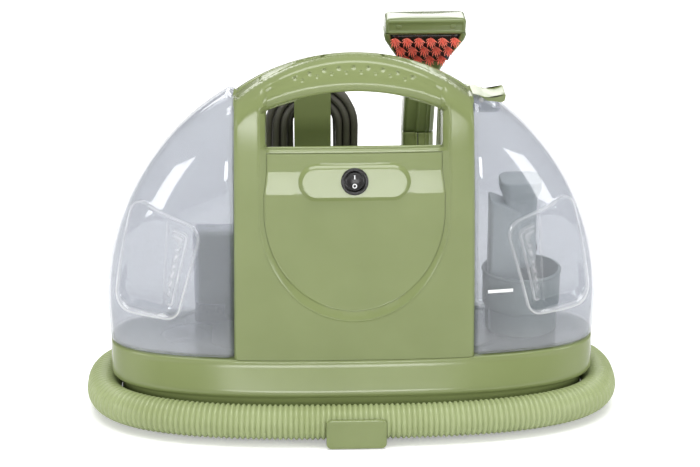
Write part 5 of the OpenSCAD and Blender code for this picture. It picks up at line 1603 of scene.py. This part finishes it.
def bristleTree():
    tree, given = startGroup("bristleTufts", "Places", bristle, dict(Bristles=24, Seed=5), "Tufts")
    line = addNode(tree, "GeometryNodeMeshLine", {"Count": given["Bristles"]})
    index = addNode(tree, "GeometryNodeInputIndex").outputs[0]
    # the golden angle spreads the bristles evenly over the tuft's foot
    turn = addMath(tree, "MULTIPLY", index, 2.39996)
    root = addMath(tree, "SQRT", addMath(tree, "DIVIDE", index, given["Bristles"]))
    away = addMath(tree, "MULTIPLY", root, given["Spread"])
    cos, sin = addMath(tree, "COSINE", turn), addMath(tree, "SINE", turn)
    footX, footY = [addMath(tree, "MULTIPLY", addMath(tree, "MULTIPLY", side, away), 0.55) for side in (cos, sin)]
    place = addNode(tree, "ShaderNodeCombineXYZ", {"X": footX, "Y": footY}).outputs["Vector"]
    spots = addNode(tree, "GeometryNodeSetPosition", {"Geometry": line.outputs["Mesh"], "Position": place})
    axis = addNode(tree, "ShaderNodeCombineXYZ", {"X": addMath(tree, "MULTIPLY", sin, -1.0), "Y": cos})
    jitter = addNode(tree, "FunctionNodeRandomValue", {2: 0.75, 3: 1.25, "Seed": given["Seed"]})
    lean = addMath(tree, "MULTIPLY", addMath(tree, "MULTIPLY", root, given["Splay"]), jitter.outputs[1])
    spin = addNode(tree, "FunctionNodeAxisAngleToRotation", {"Axis": axis.outputs["Vector"], "Angle": lean})
    shape = {"Vertices": 6, "Radius Top": 0.3 * mm, "Radius Bottom": given["Thickness"], "Depth": given["Length"]}
    one = addNode(tree, "GeometryNodeMeshCone", shape).outputs["Mesh"]
    sockets = {"Points": spots.outputs["Geometry"], "Instance": one, "Rotation": spin.outputs["Rotation"]}
    bunch = addNode(tree, "GeometryNodeInstanceOnPoints", sockets).outputs["Instances"]
    facing = addNode(tree, "GeometryNodeInputNamedAttribute", {"Name": "facing"}, data_type="FLOAT_VECTOR")
    sockets = {"Points": given["Places"], "Instance": bunch, "Rotation": facing.outputs["Attribute"]}
    many = addNode(tree, "GeometryNodeInstanceOnPoints", sockets).outputs["Instances"]
    return endGroup(tree, many, given["Finish"], "Tufts")


def addTufts():
    places = []
    for row, count in enumerate(tuft["rows"]):
        z = tuft["top"] - tuft["drop"] * row
        for i in range(count):
            x = (i - (count - 1) / 2) * tuft["pitch"]
            places.append((wand["x"] + x, wand["y"] + toolAt(z)[1] + tuft["back"], z))
    mesh = bpy.data.meshes.new("tuftPlaces")
    mesh.from_pydata([tuple(p) for p in wandLean(places) * mm], [], [])
    spin = mesh.attributes.new("facing", "FLOAT_VECTOR", "POINT")
    spin.data.foreach_set("vector", [math.radians(tuft["tilt"]), 0, 0] * len(places))
    source = addObject("bristleTufts", mesh)
    modifier = source.modifiers.new("tufts", "NODES")
    modifier.node_group = bristleTree()
    setInputs(modifier, {"Finish": coralNylon})
    applyModifiers(source)
    dress(source, coralNylon, "tool", ["bristle_tufts"])
    print("bristles:", len(source.data.polygons), "faces")


def setInputs(modifier, values):
    for item in modifier.node_group.interface.items_tree:
        if item.item_type == "SOCKET" and item.in_out == "INPUT" and item.name in values:
            modifier[item.identifier] = values[item.name]


addWandShells()
addTool()
addSuctionLip()
addTufts()


# suction hose
hose = dict(
    radius=14.4, pitch=4.35, groove=1.5, height=17.7, ringLength=208, ringDepth=87, mouth=14, rise=140,
    top=(60, 82), under=(60, 87.5), cuffLow=96, cuffGap=0.3, pull=(45, 40), sides=22, stepsPerRib=8,
)


def hoseTrack():
    power = body["squareness"] / 2
    first = math.acos((hose["mouth"] / hose["ringLength"]) ** power)
    last = 2 * math.pi + math.acos((hose["rise"] / hose["ringLength"]) ** power)
    t = np.linspace(first, last, 301)
    x, y = ringPoint(hose["ringLength"], hose["ringDepth"], t)
    ring = lying(np.column_stack([x, y]), hose["height"])
    start, coverAndHighlight = ring[-1], 2 * hose["radius"]
    heading = (ring[-1] - ring[-2]) / np.linalg.norm(ring[-1] - ring[-2])
    top = np.array([*hose["top"], hose["cuffLow"] - coverAndHighlight - hose["cuffGap"]])
    p1, p2 = start + hose["pull"][0] * heading, np.array([*hose["under"], top[2] - hose["pull"][1]])
    u = np.linspace(0, 1, 41)[1:, None]
    v = 1 - u
    riser = v**3 * start + 3 * v * v * u * p1 + 3 * v * u * u * p2 + u**3 * top
    return np.vstack([ring, riser, [top + [0, 0, coverAndHighlight]]])


def ribbedHoseTree():
    floats = {key.title(): hose[key] * mm for key in ("radius", "groove", "pitch")}
    tree, given = startGroup("ribbedHose", "Path", floats, dict(Steps=1000), "Hose")
    even = addNode(tree, "GeometryNodeResampleCurve", {"Curve": given["Path"], "Count": given["Steps"]})
    where = addNode(tree, "GeometryNodeSplineParameter")
    turn = addMath(tree, "DIVIDE", where.outputs["Length"], given["Pitch"])
    wave = addMath(tree, "COSINE", addMath(tree, "MULTIPLY", turn, 2 * math.pi))
    # wide flat crests with narrow grooves between them
    narrow = addMath(tree, "POWER", addMath(tree, "MULTIPLY_ADD", wave, -0.5, 0.5), 1.7)
    size = addMath(tree, "SUBTRACT", given["Radius"], addMath(tree, "MULTIPLY", narrow, given["Groove"]))
    round_ = addNode(tree, "GeometryNodeCurvePrimitiveCircle", {"Resolution": hose["sides"], "Radius": 1.0})
    sockets = {"Curve": even.outputs["Curve"], "Profile Curve": round_.outputs["Curve"], "Scale": size}
    tube = addNode(tree, "GeometryNodeCurveToMesh", {**sockets, "Fill Caps": True})
    soft = addNode(tree, "GeometryNodeSetShadeSmooth", {"Geometry": tube.outputs["Mesh"]})
    return endGroup(tree, soft.outputs["Geometry"], given["Finish"], "Hose")


def addHose():
    track = hoseTrack()
    source = addCurve("suctionHosePath", "suctionHose", track)
    length = float(np.sum(np.linalg.norm(np.diff(track, axis=0), axis=1)))
    ribs = round(length / hose["pitch"])
    modifier = source.modifiers.new("ribs", "NODES")
    modifier.node_group = ribbedHoseTree()
    steps = ribs * hose["stepsPerRib"] + 1
    setInputs(modifier, {"Pitch": length / ribs * mm, "Steps": steps, "Finish": hosePvc})
    mesh = evaluated(source)
    bpy.data.objects.remove(source)
    obj = facesOutward(addObject("suctionHose", mesh))
    mesh.shade_smooth()
    mesh.set_sharp_from_angle(angle=math.radians(50))
    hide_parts("hose")
    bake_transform(obj)
    print("hose:", ribs, "ribs,", len(mesh.polygons), "faces")


addHose()


# nodes that keep their CAD shape take a finish
nodeSlots = dict(
    green="hose_clips tank_latch cord_post cord_hook wand_cradle wand_shell_left wand_shell_right "
    "base_tray front_housing front_panel rear_housing",
    hose="hose",
    dark_green="base_plate tank_socket tank_cap inlet_pipe hose_elbow wand_cuff trigger tool_body suction_lip",
    smoke="clean_tank dirty_tank suction_tube",
    clear_tube="water_tube spray_line",
    grey_clear="separator_cup riser_duct",
    black="switch_bezel switch_body switch_rocker brush_plate spray_valve motor_mount fan_shroud "
    "suction_duct pump_body drain_plug",
    rubber="rubber_feet tank_seal cap_seal valve_poppet",
    cord="plug_body",
    steel="base_screws housing_screws motor_shaft pump_plunger latch_pin trigger_pin plug_blades",
    motor="motor_housing fan_impeller",
    coral="bristle_tufts float",
)
for slotName, names in nodeSlots.items():
    for name in names.split():
        obj = bpy.data.objects.get(name)
        if obj is None:
            print("missing node", name)
            continue
        if not obj.data.materials:
            obj.data.materials.append(slotMaterials[slotName])
        for i in range(len(obj.data.materials)):
            obj.data.materials[i] = slotMaterials[slotName]
print("nodes finished")
